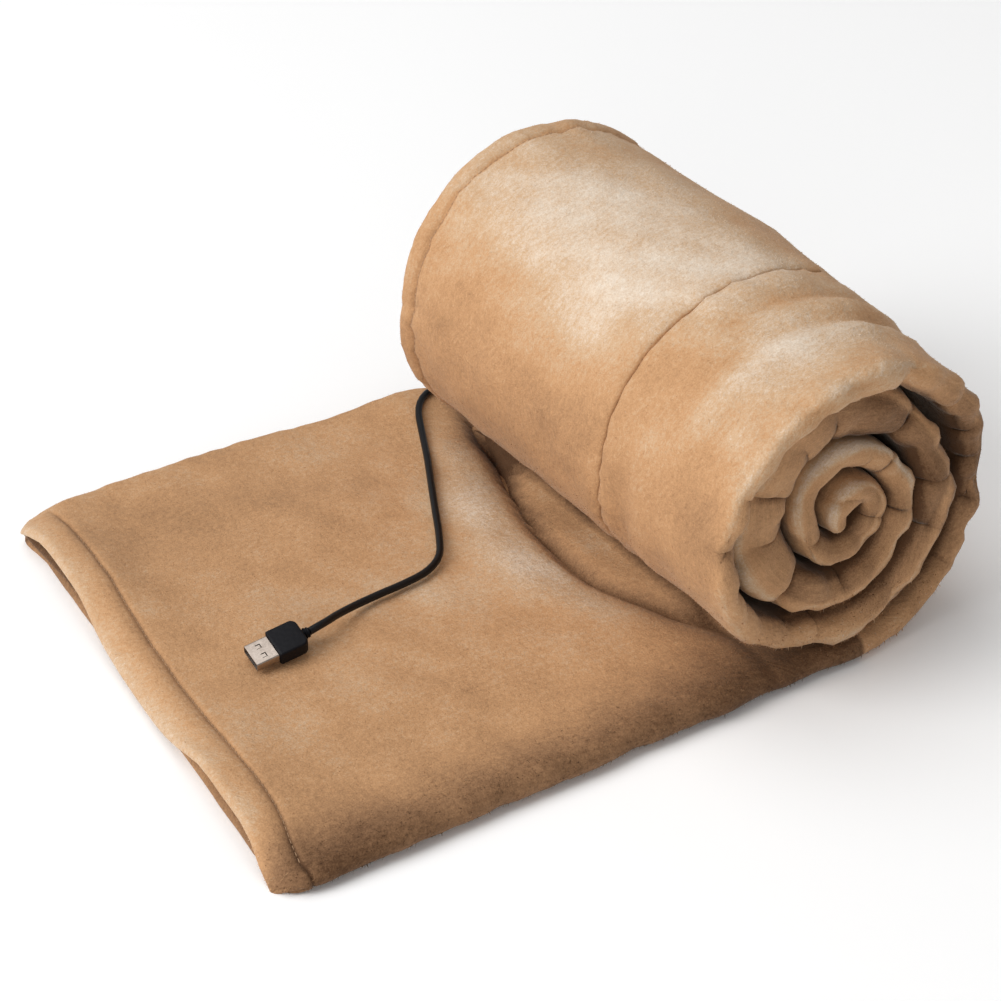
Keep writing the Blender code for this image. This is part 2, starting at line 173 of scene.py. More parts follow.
# Sharp creases across the near fold, where the cloth on one side laps over the other: turn, spread in
# degrees, depth (mm), and the side of the fold where each is deepest, from -1 for the roll's inside to 1
# for its outside
CREASES = (
    (50, 2.6, 1.5, -0.4),
    (77, 2.8, 2.2, -0.4),
    (97, 2.6, 1.6, -0.5),
    (113, 2.6, 2.2, -0.6),
    (136, 3.0, 2.6, -0.9),
    (171, 3.0, 3.6, -0.9),
    (241, 3.0, 1.8, -0.3),
    (258, 3.5, 2.8, 0.3),
    (334, 4.0, 1.6, -0.7),
    (427, 3.2, 2.0, -0.4),
    (462, 3.2, 2.8, -0.3),
    (511, 3.4, 4.0, 0.0),
    (556, 3.6, 3.0, -0.8),
    (577, 3.2, 2.2, -0.8),
    (603, 2.4, 1.8, 0.2),
    (628, 3.6, 3.2, -0.7),
    (660, 4.0, 4.0, 0.0),
    (704, 5.0, 2.2, -0.5),
    (800, 6.0, 2.2, -0.4),
    (862, 7.0, 3.0, 0.2),
    (888, 8.0, 2.4, -0.8),
    (1010, 8.0, 1.8, -0.5),
    (1140, 12.0, 1.8, 0.0),
)
CREASE_SIDE = 0.70            # how far round the fold a crease spreads
CREASE_REACH = 0.018          # how far over the cloth it runs
CREASE_WIDTH = 0.0009
CREASE_LINE, CREASE_DIP = 0.75, 0.15        # shares of the depth in the sharp line and in the dip round it
CREASE_LAP = 0.35             # share of the depth by which the cloth laps over at a crease
CREASE_LAP_REACH = 0.0060
CREASE_SHADE = 0.55            # painted shade in a crease of this depth
CREASE_SHADE_DEPTH = 0.0020
CREASE_PALEST = -0.4          # painted highlight where the lap swells, at most this share of the tone

# The near fold's face on the roll: it stands out most in a rim towards the roll's outside and falls back
# from there towards the core
SLANT = 0.0050
SLANT_REACH = 0.026
RIM = 0.0014
RIM_SIDE, RIM_SPREAD = 0.72, 0.22
RIM_HIGHLIGHT = 0.46               # painted highlight: the rim is paler
RIM_TURN, RIM_SWING = 219, 0.22             # it lies further in where it turns away from this turn
OUTER_RIM = 0.35              # share of its tone on the outer turn
GAP_SHADE = 1.00               # and painted shade lies dark beside the next turn
GAP_SIDE, GAP_SIDE_FADE = 0.30, 0.55
DEEP_SHADE = 0.80              # and painted shade deep between the turns
DEEP_FROM, FACE_FROM, FACE_FADE = 0.007, 0.006, 0.012       # from the near edge
FACE_START, CRUMPLE_START = 50, 60          # degrees over which the roll's own shape sets in
INNER_FROM, INNER_FADE = 330, 60            # degrees where the inner turns begin

# Where the fold's outer side sinks and leaves a dark gap: turn, spread in degrees, depth (mm)
NEAR_GAPS = (
    (545, 30, 3.0),
    (590, 26, 2.6),
    (930, 40, 2.4),
    (1000, 30, 2.2),
)
GAP_REACH = 0.022
CRUMPLE = 0.00080             # small unevenness of the near fold
CRUMPLE_LENGTH = 0.012
PLEAT = 0.00065               # little pleats on its side towards the core
PLEAT_LENGTH = 0.016
PLEAT_SIDE, PLEAT_SIDE_FADE = 0.4, 0.8

# The fold in the tongue beside the roll: y, x of its trough, how deep it is there (mm)
TROUGH = (
    (20, 232, 0.0),
    (44, 224, 2.6),
    (60, 215, 4.0),
    (78, 208, 4.6),
    (96, 203, 4.8),
    (116, 202, 5.0),
    (139, 204, 5.2),
    (163, 209, 5.6),
    (190, 218, 6.2),
    (217, 225, 6.8),
    (245, 233, 3.0),
    (270, 240, 0.0),
)
TROUGH_SPREAD = 0.0036
RIDGE_AWAY = 0.0205           # from the trough to the soft ridge beside it
RIDGE_SPREAD = 0.0130
RIDGE_SHARE = 0.36            # the ridge's height as a share of the trough's depth
NIP_RISE = 0.0056             # how far the top ply rises to meet the roll
NIP_RISE_X = 0.230
NIP_RISE_BEFORE, NIP_RISE_AFTER = 0.0095, 0.0130
NIP_RISE_AWAY, NIP_RISE_FADE = 0.002, 0.008 # it sets in beside the trough
NIP_RISE_FROM, NIP_RISE_FROM_FADE = 0.025, 0.040            # y where it sets in
NIP_RISE_TO, NIP_RISE_TO_FADE = 0.225, 0.030                # and where it ends
MIDDLE_FOLLOWS = 0.45         # share of the top ply's shape that the middle one follows there

# The free end, where the top ply hangs over the others between its two lifted places
OVERHANG = 0.0040
LEAST_OVERHANG = 0.4          # share of it that the lifted places keep
DROOP = 0.0062
DROOP_LENGTH = 0.0100
MIDDLE_DRAWN_IN = 0.0060
DRAWN_TO, DRAWN_FADE = 0.15, 0.10           # y up to which the middle ply is drawn in
END_REACH = 0.030             # how far along the strip the free end's own shape reaches
LIFTED = ((230, 46), (56, 40))              # y and spread (mm)
LIFT_SHARE = 1.15             # how fully the lifted places keep their height
EDGE_REACH = 0.0110           # how far the closed folds' own shape reaches in
NEAR_CORNER, FAR_CORNER = 0.0088, 0.0088    # radius of the free end's corners
CORNER_FADE = 0.0145
FAR_OUT = 0.0034              # how far the far fold stands out there, with all its plies
FAR_OUT_REACH = 0.030
CLOSED, FAR_CLOSED = 0.70, 0.45             # how far the two corners are pressed shut
CLOSED_LENGTH, CLOSED_FROM, CLOSED_FADE = 0.014, 0.006, 0.014
FAR_CLOSED_LENGTH, FAR_CLOSED_FROM, FAR_CLOSED_FADE = 0.022, 0.004, 0.016
CORNER_TUCKED = 0.0012        # how far the pressed fold is drawn in at the near corner
TUCKED_LENGTH, TUCKED_WIDTH = 0.035, 0.025
CORNER_THINS = 0.35           # share of its thickness that the cloth loses at the corners
MOUTH_TONE = 0.9              # the middle ply lies in shade at the free end
END_TONE = 0.40               # and so does the outer ply's end, under the top one
SHADE_FROM, SHADE_FADE = 0.004, 0.006
HEM_NARROWS = 0.24            # share of its width that the hem loses at the near corner
HEM_NARROW_REACH = 0.045
END_FAR_REACH = 0.0035        # how much rounder the far fold is at the free end
END_FAR_FADE = 0.060
SQUEEZE = 0.42                # share of its height that the near fold loses at the free end
SQUEEZE_LENGTH = 0.055
SQUEEZE_FROM = 0.008
SQUEEZE_FADE = 0.020

# Wrinkles of the roll's outer ply, running round it: turn, y, spread in degrees, spread in y, height (mm)
WRINKLES = (
    (166, 27, 34, 4.0, 1.3),
    (172, 37, 40, 4.0, -1.4),
    (160, 47, 36, 4.5, 1.4),
    (178, 58, 34, 4.5, -1.1),
    (150, 66, 30, 5.5, 0.8),
    (205, 33, 22, 5.0, 1.0),
    (214, 45, 22, 5.0, -0.9),
    (228, 22, 16, 4.5, -1.1),
    (240, 36, 16, 5.0, 0.8),
    (120, 30, 20, 5.0, -1.0),
    (262, 50, 18, 6.0, 1.0),
    (275, 66, 16, 5.0, -0.9),
)
WRINKLE_SHARE = 1.8
WRINKLE_LIGHT_AND_SHADE = 0.11           # painted highlight on a wrinkle and painted shade beside it

# Sewing
FREE_HEM = 0.0145             # from the free end to its hem's seam, without the overhang
END_HEM = 0.0175              # from the strip's inner end to its hem's seam
SIDE_HEM = 0.0110             # from the cut sides to their hem's seam
HEM_PUFF = 0.0018             # how much thicker the turned hem is
HEM_EDGE, HEM_INNER = 0.003, 0.0045         # where the puff sets in and ends, from the hem's two sides
FOLDED_HEM = 0.8              # share of the puff that the free hem loses at the folds
FAR_HEM_FROM, FAR_HEM_FADE = 0.004, 0.008   # its seam ends before the far fold
GROOVE = 0.0019               # how deep a seam draws the pile down
GROOVE_WIDTH = 0.0009
SEAM_PUFF = 0.0010            # how proud the cloth stands beside the long seam
SEAM_PUFF_AWAY, SEAM_PUFF_SPREAD = 0.007, 0.005
SEAM_SINKS, SEAM_THINS = 0.0009, 0.0014     # how far the long seam lies back, and how much it thins
LEAST_THICKNESS = 0.0010
CUT_EDGE = 0.0024             # radius of a cut edge
GATHER = 0.00060              # height of the little gathers beside a seam
# Gathers of the long seam and the far hem: share of the height, length, seed, place from the seam, spread
SEAM_GATHERS = ((1.0, 0.010, 5, 0.003, 0.004),)
HEM_GATHERS = ((1.3, 0.010, 6, 0.002, 0.006), (0.7, 0.022, 7, -0.006, 0.010))
SEAM_SHADE = -0.36             # painted shade in a seam
SEAM_SHADE_WIDTH = 0.0008
THREAD = 0.00045
STITCH_LENGTH = 0.0026
STITCH_GAP = 0.0005
# Along one stitch: place, girth, and rise as a share of the thread
STITCH_PLACES = (0.0, 0.15, 0.5, 0.85, 1.0)
STITCH_GIRTHS = (0.35, 1.0, 1.0, 1.0, 0.35)
STITCH_RISES = (-0.4, 0.2, 0.45, 0.2, -0.4)
SEWN_FROM, SEWN_TO = 20, 330  # turns of the roll where the sewing shows

# Rows along the strip and columns across its section
HEM_ROWS = (3.8, 5.6, 7.6, 9.6, 11.4, 12.6, 13.4, 14.0, 14.5, 15.0, 15.6, 16.6, 18.2, 20.4, 23.0)
TONGUE_STEP = 0.0036
ROLL_STEP = 0.0040
CORE_STEP = 0.14              # the most that a row turns, in radians
EDGE_STEPS = (0.0, 0.25, 0.7, 1.4, 2.4)   # mm from a cut edge
HEM_COLUMNS = (0.0050, 0.0085, 0.0110)
MIDDLE_COLUMNS = 4
FAR_FOLD_COLUMNS = 7
TOP_COLUMNS = 28
NEAR_FOLD_COLUMNS = 17
SEAM_COLUMNS = (-6.0, -3.2, -1.6, -0.6, 0.0, 0.6, 1.6, 3.2, 6.0)
BEFORE_SEAM_COLUMNS = 15
AFTER_SEAM_COLUMNS = 17
COLUMN_GAP = 0.004            # between the wide columns and the close ones
SIDE_HEM_COLUMNS = (13.0, 11.8, 11.0, 10.2, 8.6, 6.2, 4.0)

# Tone over the cloth, from -1 dark to 1 pale: the brushed nap's own unevenness, with painted highlight along
# the ridge beside the trough and painted shade where the roll rests on the tongue and in the pocket at the
# trough's far end. On the tongue: x, y, spreads (mm), tone
TONGUE_TONES = (
    (140, 0, 400, 20, -0.64),
    (250, 10, 60, 60, -0.32),
    # painted highlight along the ridge beside the trough
    (188, 165, 15, 45, 0.30),
    (204, 205, 11, 28, 0.25),
    (182, 115, 14, 34, 0.30),
    (196, 78, 14, 26, 0.22),
    (20, 10, 40, 22, -0.25),
    (120, 130, 60, 50, 0.08),
    (60, 225, 90, 50, -0.12),
    # painted shadow: a dark line where the roll rests on the tongue, and painted shade in the pocket at the
    # trough's far end
    (227.2, 125, 2.6, 85, -1.60),
    (226, 206, 8, 24, -0.70),
)
TROUGH_SHADE, TROUGH_SHADE_DEPTH = 0.85, 5.0  # painted shade in the trough, by this tone where it is so deep (mm)
TROUGH_SHADE_AWAY, TROUGH_SHADE_SPREAD = 0.0005, 0.0048
# On the roll: the pale band over its top is a painted highlight, the darker places low on its side towards
# the tongue are painted shade: turn, y, spread in degrees, spread in y (mm), tone
ROLL_TONES = (
    # painted highlight: the pale band over the roll's top
    (203, 130, 27, 90, 0.50),
    (176, 130, 16, 90, 0.14),
    (222, 116, 14, 34, 0.12),
    (215, 195, 16, 30, 0.10),
    (203, 22, 26, 22, 0.28),
    (222, 58, 16, 18, -0.12),
    # painted shade low on the roll's side towards the tongue, darkest where it rests on it
    (258, 120, 16, 80, -0.16),
    (280, 140, 14, 100, -0.20),
    (308, 130, 15, 110, -0.70),
    (95, 6, 45, 20, -0.75),
    (255, 10, 30, 16, -0.15),
)
FACE_SHADE = -0.32             # painted shade on the near fold of the inner turns
# Painted light and shade on it, paler towards the core and darker under the overhanging outer turns: turn,
# spread in degrees, tone
FACE_LIGHT_AND_SHADE = (
    (470, 60, -0.32),
    (535, 26, -0.25),
    (600, 50, 0.20),
    (900, 70, 0.38),
    (1290, 80, 0.30),
)
HEM_HIGHLIGHT, HEM_HIGHLIGHT_REACH = 0.28, 0.012      # painted highlight along the edge of the free end
PATCH_TONES = ((0.050, 0.040, 21), (0.018, 0.035, 22))      # uneven patches: size, tone, seed
UNEVEN = ((0.034, 0.00040, 11), (0.010, 0.00014, 12))       # how unevenly it lies: size, height, seed
RIPPLE_WAVES = 28

# The pile, short tufts that stand out of the cloth
TUFTS = 190000
TUFT_LENGTH = 0.0011
TUFT_WIDTH = 0.00028
TUFT_LENGTHS, TUFT_WIDTHS = (0.55, 1.25), (0.6, 1.2)        # least and most, as shares
TUFT_LEAN = 1.3               # how far it leans along the cloth for each length it stands up
TUFT_SCATTER, TUFT_TWIST = 0.5, 0.12        # how unevenly it leans and turns
TUFT_SUNK = 0.0002            # how deep it is rooted
TUFT_ROOM, TUFT_CLEAR = 0.006, 0.0003       # how open a place has to be to carry pile
TUFT_FLOOR = 0.0022           # none stands lower than this, where the cloth lies on the surface
TUFT_TONE = 0.12
TUFT_ROOT_SHADE_AND_TIP_LIGHT = (-0.05, -0.05, 0.15)          # painted shade at the two roots and painted highlight at the tip, as tone
ROUGH_EDGE = 0.030            # width of the rubbed, tangled pile along the tongue's near edge
ROUGH_PAST_NIP = 0.05
ROUGH_LONGER = 0.8
CLUMP_TONE = 0.12
CLUMP_SIZE = 0.007

# ---------------------------------------------------------------- the cord
CORD_DIAMETER = 0.0034
CORD_STEP = 0.0040
# Its middle line from the strain relief to the plug, in the strip's coordinates (mm)
CORD_ROUTE = (
    (262.0, 276.6, 3.2),
    (261.9, 281.4, 2.9),
    (258.8, 286.6, 2.2),
    (253.0, 287.8, 2.3),
    (248.3, 283.5, 4.6),
    (245.6, 276.5, 9.5),
    (243.0, 269.8, 14.8),
    (238.0, 264.0, 18.6),
    (231.0, 261.4, 20.4),
    (224.6, 261.0, 21.0),
    (218.4, 259.2, 20.8),
    (212.2, 255.2, 20.0),
    (206.6, 247.8, 18.6),
    (200.0, 233.5, 16.6),
    (191.5, 215.0, 15.6),
    (182.0, 196.0, 15.3),
    (172.5, 177.0, 15.3),
    (162.5, 157.0, 15.3),
    (154.0, 143.5, 15.3),
    (143.5, 136.6, 15.3),
    (131.0, 134.0, 15.4),
    (117.0, 132.4, 15.8),
    (104.0, 129.8, 16.8),
    (93.0, 125.8, 18.7),
    (86.0, 122.2, 20.3),
    (80.6, 120.5, 20.7),
    (76.1, 119.9, 20.25),
)

# The plug (mm), in a frame of its own: +X the way it points, +Z its upper face
PLUG_PLACE = (65.9, 120.0, 19.0)          # in the strip's coordinates
PLUG_TURNS = (-14.0, 7.0, 179.0)          # roll, pitch and heading (degrees)
GRIP_SIZE = (13.8, 14.5, 7.2)
GRIP_SHOULDER = 3.0
GRIP_EDGE = 0.9
NECK_PROFILE = ((-0.9, 2.95), (0.0, 2.75), (0.5, 2.15), (0.8, 2.15), (1.1, 2.55), (1.6, 2.5), (1.9, 2.05),
                (2.2, 2.05), (2.5, 2.35), (2.9, 2.25))
SHELL_SIZE = (10.2, 12.0, 4.5)
SHELL_WALL = 0.35
SHELL_CORNER = 0.7
WINDOW = 2.3
WINDOW_SPREAD = 5.0
WINDOW_SETBACK = 5.0
LATCH_DEPTH = 0.25                       # from the shell's face to the middle of the latch in a window
LATCH_SLOT = 0.35                        # the slot round the latch's three free sides
LATCH_SHEET = 0.16
INSULATOR_SIZE = (8.4, 10.4, 1.8)
INSULATOR_EDGE = 0.2
CONTACTS = ((-3.5, 6.4), (-1.0, 5.6), (1.0, 5.6), (3.5, 6.4))   # place across, length
CONTACT_WIDTH, CONTACT_HEIGHT, CONTACT_EDGE = 1.1, 0.20, 0.05
CONTACT_SETBACK = 0.9                    # from the insulator's front to a short contact
SHELL_WALL_ROOM = 0.4
GAP = 0.3
SHARP = 40                               # degrees, the least angle of an edge that stays sharp
TURNED_SIDES = 28

# The strain relief at the hem: distance from its end in the cloth, radius (mm)
RELIEF_PLACE = (262.0, 261.4, 3.2)
RELIEF_PROFILE = ((0.0, 2.9), (0.6, 3.15), (3.4, 3.15), (3.7, 2.5), (4.5, 2.5), (4.8, 3.0), (5.8, 2.95),
                  (6.1, 2.4), (6.9, 2.35), (7.2, 2.8), (8.2, 2.75), (8.5, 2.25), (9.3, 2.2), (9.6, 2.6),
                  (10.6, 2.55), (10.9, 2.1), (11.7, 2.1), (12.0, 2.45), (14.2, 2.35), (14.8, 2.1))


# ================================================================ small maths
def smooth(value):
    """Runs from 0 to 1 with soft ends."""
    value = np.clip(value, 0.0, 1.0)
    return value * value * (3 - 2 * value)


def fade(distance, reach, start=0.0):
    """1 up to a start, and from there softly down to 0 within a reach."""
    return 1 - smooth((distance - start) / reach)


def bell(distance, spread):
    """A soft bump: 1 at no distance, nearly 0 at twice the spread."""
    return np.exp(-(distance / spread) ** 2)


def curve_values(table, column, at):
    """Values of a table's column at places between its rows, on a smooth curve through them."""
    table = np.asarray(table, float)
    last = len(table) - 1
    row = np.clip(np.searchsorted(table[:, 0], at, side="left") - 1, 0, last - 1)
    before, after = table[row], table[row + 1]
    first = table[np.maximum(row - 1, 0)]
    final = table[np.minimum(row + 2, last)]
    span = after[..., 0] - before[..., 0]
    part = np.clip((at - before[..., 0]) / span, 0.0, 1.0)
    slope_in = (after[..., column] - first[..., column]) / (after[..., 0] - first[..., 0]) * span
    slope_out = (final[..., column] - before[..., column]) / (final[..., 0] - before[..., 0]) * span
    square, cube = part ** 2, part ** 3
    return ((2 * cube - 3 * square + 1) * before[..., column] + (cube - 2 * square + part) * slope_in
            + (3 * square - 2 * cube) * after[..., column] + (cube - square) * slope_out)


def ripples(points, wavelength, seed):
    """Smooth random unevenness, about -1 to 1, from a sum of plane waves of about one wavelength."""
    chance = np.random.default_rng(seed)
    total = np.zeros(points.shape[:-1])
    for _ in range(RIPPLE_WAVES):
        way = chance.normal(size=3)
        way *= 2 * math.pi / (wavelength * chance.uniform(0.7, 1.5)) / np.linalg.norm(way)
        total += np.sin(points @ way + chance.uniform(0, 2 * math.pi))
    return total / math.sqrt(RIPPLE_WAVES / 2)


def run_along(line):
    """Distance run along a line of points."""
    return np.concatenate([[0.0], np.cumsum(np.linalg.norm(np.diff(line, axis=0), axis=1))])


def unit(vectors):
    """The same directions, of length 1."""
    return vectors / np.maximum(np.linalg.norm(vectors, axis=-1), 1e-15)[..., None]


def gathers(along, wavelength, seed):
    """Uneven little folds across a seam, -1 to 1, from the distance run along it."""
    chance = np.random.default_rng(seed)
    total = np.zeros(along.shape)
    for _ in range(7):
        total += np.sin(along * 2 * math.pi / (wavelength * chance.uniform(0.6, 1.9))
                        + chance.uniform(0, 2 * math.pi))
    return total / 2.6


# ================================================================ the cloth
def roll_spine(turn):
    """The strip's middle on the roll, in its own x and height."""
    radius = curve_values(ROLL_TABLE, 1, turn) * MM
    angle = np.radians(turn - 90)
    return np.stack([NIP_X + radius * np.cos(angle), CORE_HEIGHT + radius * np.sin(angle)], -1)


def roll_turns():
    """Turns of the rows on the roll, closer together where the roll is tight, with more at each crease."""
    fine = np.arange(0.0, ROLL_END + 0.5, 1.0)
    spine = roll_spine(fine)
    length = np.linalg.norm(np.diff(spine, axis=0), axis=1)
    radius = curve_values(ROLL_TABLE, 1, fine[1:]) * MM
    steps = length / np.minimum(ROLL_STEP, CORE_STEP * radius)
    count = np.concatenate([[0.0], np.cumsum(steps)])
    places = np.linspace(0.0, count[-1], int(round(count[-1])) + 1)
    turns = np.interp(places, count, fine)
    last_radius = curve_values(ROLL_TABLE, 1, np.array(ROLL_END)) * MM
    edge = ROLL_END - np.degrees(np.array(EDGE_STEPS[::-1]) * MM / last_radius)
    crease = np.array([row[0] for row in CREASES], float)
    side = np.degrees(CREASE_WIDTH * 1000 / curve_values(ROLL_TABLE, 1, crease))
    rows = np.concatenate([crease - side, crease, crease + side])
    apart = np.abs(turns[:, None] - crease[None]) > 1.5 * side[None]
    turns = np.sort(np.concatenate([turns[apart.all(1)], rows]))
    return np.concatenate([turns[turns < edge[0] - 4], edge])


def bumps(first, second, table):
    """Sum of soft bumps: each row gives two places, two spreads and a height."""
    total = 0.0
    for first_place, second_place, first_spread, second_spread, height in table:
        total = total + height * bell(first - first_place, first_spread) * bell(
            second - second_place, second_spread)
    return total


class Strip:
    """The rows of the folded strip: their place on the spine and the sizes of their sections."""

    def __init__(self):
        hem = np.array(EDGE_STEPS + HEM_ROWS) * MM
        flat = np.arange(hem[-1] + TONGUE_STEP, NIP_X - TONGUE_STEP / 2, TONGUE_STEP)
        tongue = np.concatenate([hem, flat])
        turn = roll_turns()
        self.x = np.concatenate([tongue, np.full(len(turn), NIP_X)])[:, None]
        self.turn = np.concatenate([np.zeros(len(tongue)), turn])[:, None]
        self.wound = (np.arange(len(self.x)) >= len(tongue))[:, None]
        spine = np.stack([tongue, np.full(len(tongue), HALF_STRIP)], -1)
        self.spine = np.concatenate([spine, roll_spine(turn)])
        along = unit(np.gradient(self.spine, axis=0))
        self.normal = np.stack([-along[:, 1], along[:, 0]], -1)
        flat_far = curve_values(TONGUE_EDGE, 1, tongue / MM)
        self.puff = self.joined(np.full(len(tongue), PLY_PITCH / MM), 2, turn)
        self.near = self.joined(np.zeros(len(tongue)), 3, turn)
        self.far = self.joined(flat_far, 4, turn)
        self.pinch = self.round_the_roll(PINCHES) * self.wound
        self.puff = self.puff * (1 - PINCH_THINS * self.pinch)
        self.puff_reach = np.clip(PUFFED_REACH * self.puff, NEAR_FOLD_REACH, None)

    @staticmethod
    def joined(on_tongue, column, turn):
        return np.concatenate([on_tongue, curve_values(ROLL_TABLE, column, turn)])[:, None] * MM

    def round_the_roll(self, table):
        """Sum of soft bumps round the roll: turn, spread in degrees, size (mm)."""
        return sum(size * MM * bell(self.turn - turn, spread) for turn, spread, size in table)

    def top_lift(self, y):
        """How far the top ply of the tongue stands above its pressed place."""
        lift = REST_LIFT + MM * bumps(self.x / MM, y / MM, TONGUE_SWELLS)
        return np.where(self.wound, 0.0, lift * fade(self.x, PRESS_LENGTH, PRESS_START))

    def lump(self, y):
        """Unevenness of the whole strip where it is wound."""
        return np.where(self.wound, -MM * bumps(self.turn, y / MM, ROLL_LUMPS), 0.0)

    def opening(self, y):
        """How much further apart than when pressed the outer plies lie from the middle one."""
        closed = smooth((y - self.near - NEAR_FOLD_REACH) / FOLD_FADE)
        return (self.puff - PLY_PITCH) * (1 - (1 - KEPT_OPEN) * closed)

    def middle(self, y):
        return MIDDLE_LIFTS * self.top_lift(y)

    def top(self, y):
        return PLY_PITCH + self.opening(y) + self.top_lift(y)

    def bottom(self, y):
        gap = self.round_the_roll(NEAR_GAPS) * fade(y - self.near, GAP_REACH)
        return -PLY_PITCH - self.opening(y) + np.where(self.wound, gap, 0.0)

    def section(self):
        """The middle of the cloth across the strip, y and height, from the inner hem to the outer one."""
        inside = self.near + self.puff_reach
        far_reach = FAR_FOLD_REACH + END_FAR_REACH * fade(self.x, END_FAR_FADE)
        outside = self.far - far_reach
        inner_hem = self.near + INNER_HEM_INSET
        hem_y = inner_hem + np.concatenate([np.array(EDGE_STEPS) * MM, HEM_COLUMNS])
        shares = np.linspace(0.0, 1.0, MIDDLE_COLUMNS + 1)[1:]
        middle = np.concatenate([hem_y, hem_y[:, -1:] + (outside - hem_y[:, -1:]) * shares], 1)
        far = self.fold(self.far, -far_reach, self.middle(outside), self.top(outside), FAR_FOLD_COLUMNS)
        top = outside + (inside - outside) * np.linspace(0.0, 1.0, TOP_COLUMNS)
        near = self.fold(self.near, self.puff_reach, self.top(inside), self.bottom(inside), NEAR_FOLD_COLUMNS)
        bottom = self.near + self.bottom_distances()
        y = np.concatenate([middle, far[0], top, near[0], bottom], 1)
        height = np.concatenate([self.middle(middle), far[1], self.top(top), near[1], self.bottom(bottom)], 1)
        widths = [part.shape[1] for part in (middle, far[0], top, near[0], bottom)]
        self.ply = np.repeat(np.arange(5), widths)[None]
        climb = smooth(np.arange(1, FAR_FOLD_COLUMNS + 1) / (FAR_FOLD_COLUMNS + 1))
        turned = np.arange(1, NEAR_FOLD_COLUMNS + 1) / (NEAR_FOLD_COLUMNS + 1)
        self.upper = np.concatenate([np.zeros(widths[0]), climb, np.ones(widths[2]), 1 - smooth(turned),
                                     np.zeros(widths[4])])[None]
        self.side = np.concatenate([np.full(sum(widths[:3]), -1.0), 2 * turned - 1, np.ones(widths[4])])[None]
        height = height + self.lump(y)
        drawn = self.pinch * fade(y - self.near, PINCH_REACH)
        face = SLANT * (1 - self.side) / 2 - RIM * bell(self.side - RIM_SIDE, RIM_SPREAD)
        face = face * smooth(self.turn / FACE_START) * fade(y - self.near, SLANT_REACH)
        return y + drawn + face, height

    def bottom_distances(self):
        """Columns of the outer ply from the near edge, closer at its seam and its hem."""
        width = self.far - self.near
        start = self.puff_reach
        last = SEAM_Y + SEAM_COLUMNS[0] * MM - COLUMN_GAP
        before = start + (last - start) * np.linspace(0.0, 1.0, BEFORE_SEAM_COLUMNS)
        seam = np.broadcast_to(SEAM_Y + np.array(SEAM_COLUMNS) * MM, (len(width), len(SEAM_COLUMNS)))
        hem = width - np.array(SIDE_HEM_COLUMNS + EDGE_STEPS[::-1]) * MM
        first = SEAM_Y - SEAM_COLUMNS[0] * MM + COLUMN_GAP
        after = first + (hem[:, :1] - COLUMN_GAP - first) * np.linspace(0.0, 1.0, AFTER_SEAM_COLUMNS)
        return np.concatenate([before, seam, after, hem], 1)

    @staticmethod
    def fold(edge, inward, low, high, columns):
        """Points round a fold from its first ply to its second one."""
        angle = math.pi * (np.arange(1, columns + 1) / (columns + 1) - 0.5)
        y = edge + inward * (1 - np.cos(angle))
        return y, (low + high) / 2 + (high - low) / 2 * np.sin(angle)

    def place(self, y, height):
        """Points of the sections in the model's frame."""
        growth = np.where(self.wound, 1 + FAR_GROWTH * y, 1.0)
        x = NIP_X + (self.spine[:, :1] - NIP_X) * growth + self.normal[:, :1] * height
        z = HALF_STRIP + (self.spine[:, 1:] - HALF_STRIP) * growth + self.normal[:, 1:] * height
        x = x + np.where(self.wound, 0.0, END_SKEW * y * fade(self.x, SKEW_FADE))
        return np.stack([x - ORIGIN[0], y - ORIGIN[1], z], -1)


MIDDLE, FAR_FOLD, TOP, NEAR_FOLD, BOTTOM = range(5)


def outward(points):
    """Unit normals of a grid of points, to the side that shows."""
    return unit(np.cross(np.gradient(points, axis=1), np.gradient(points, axis=0)))


def reach(points, axis):
    """Distance run on the cloth along one of its two directions."""
    step = np.linalg.norm(np.diff(points, axis=axis), axis=-1)
    padding = [(0, 0), (0, 0)]
    padding[axis] = (1, 0)
    return np.pad(np.cumsum(step, axis=axis), padding)


def hem_profile(distance, width, puff=1.0, groove=1.0):
    """Thickness that a turned hem adds, and the groove that its seam draws."""
    body = smooth(distance / HEM_EDGE) * fade(distance, HEM_INNER, width - HEM_INNER)
    return HEM_PUFF * puff * body - GROOVE * groove * bell(distance - width, GROOVE_WIDTH)


def rounded(distance):
    """Share of the full thickness near a cut edge, which is round."""
    left = 1 - np.clip(distance / CUT_EDGE, 0.0, 1.0)
    return np.sqrt(np.maximum(1 - left ** 2, 0.02))


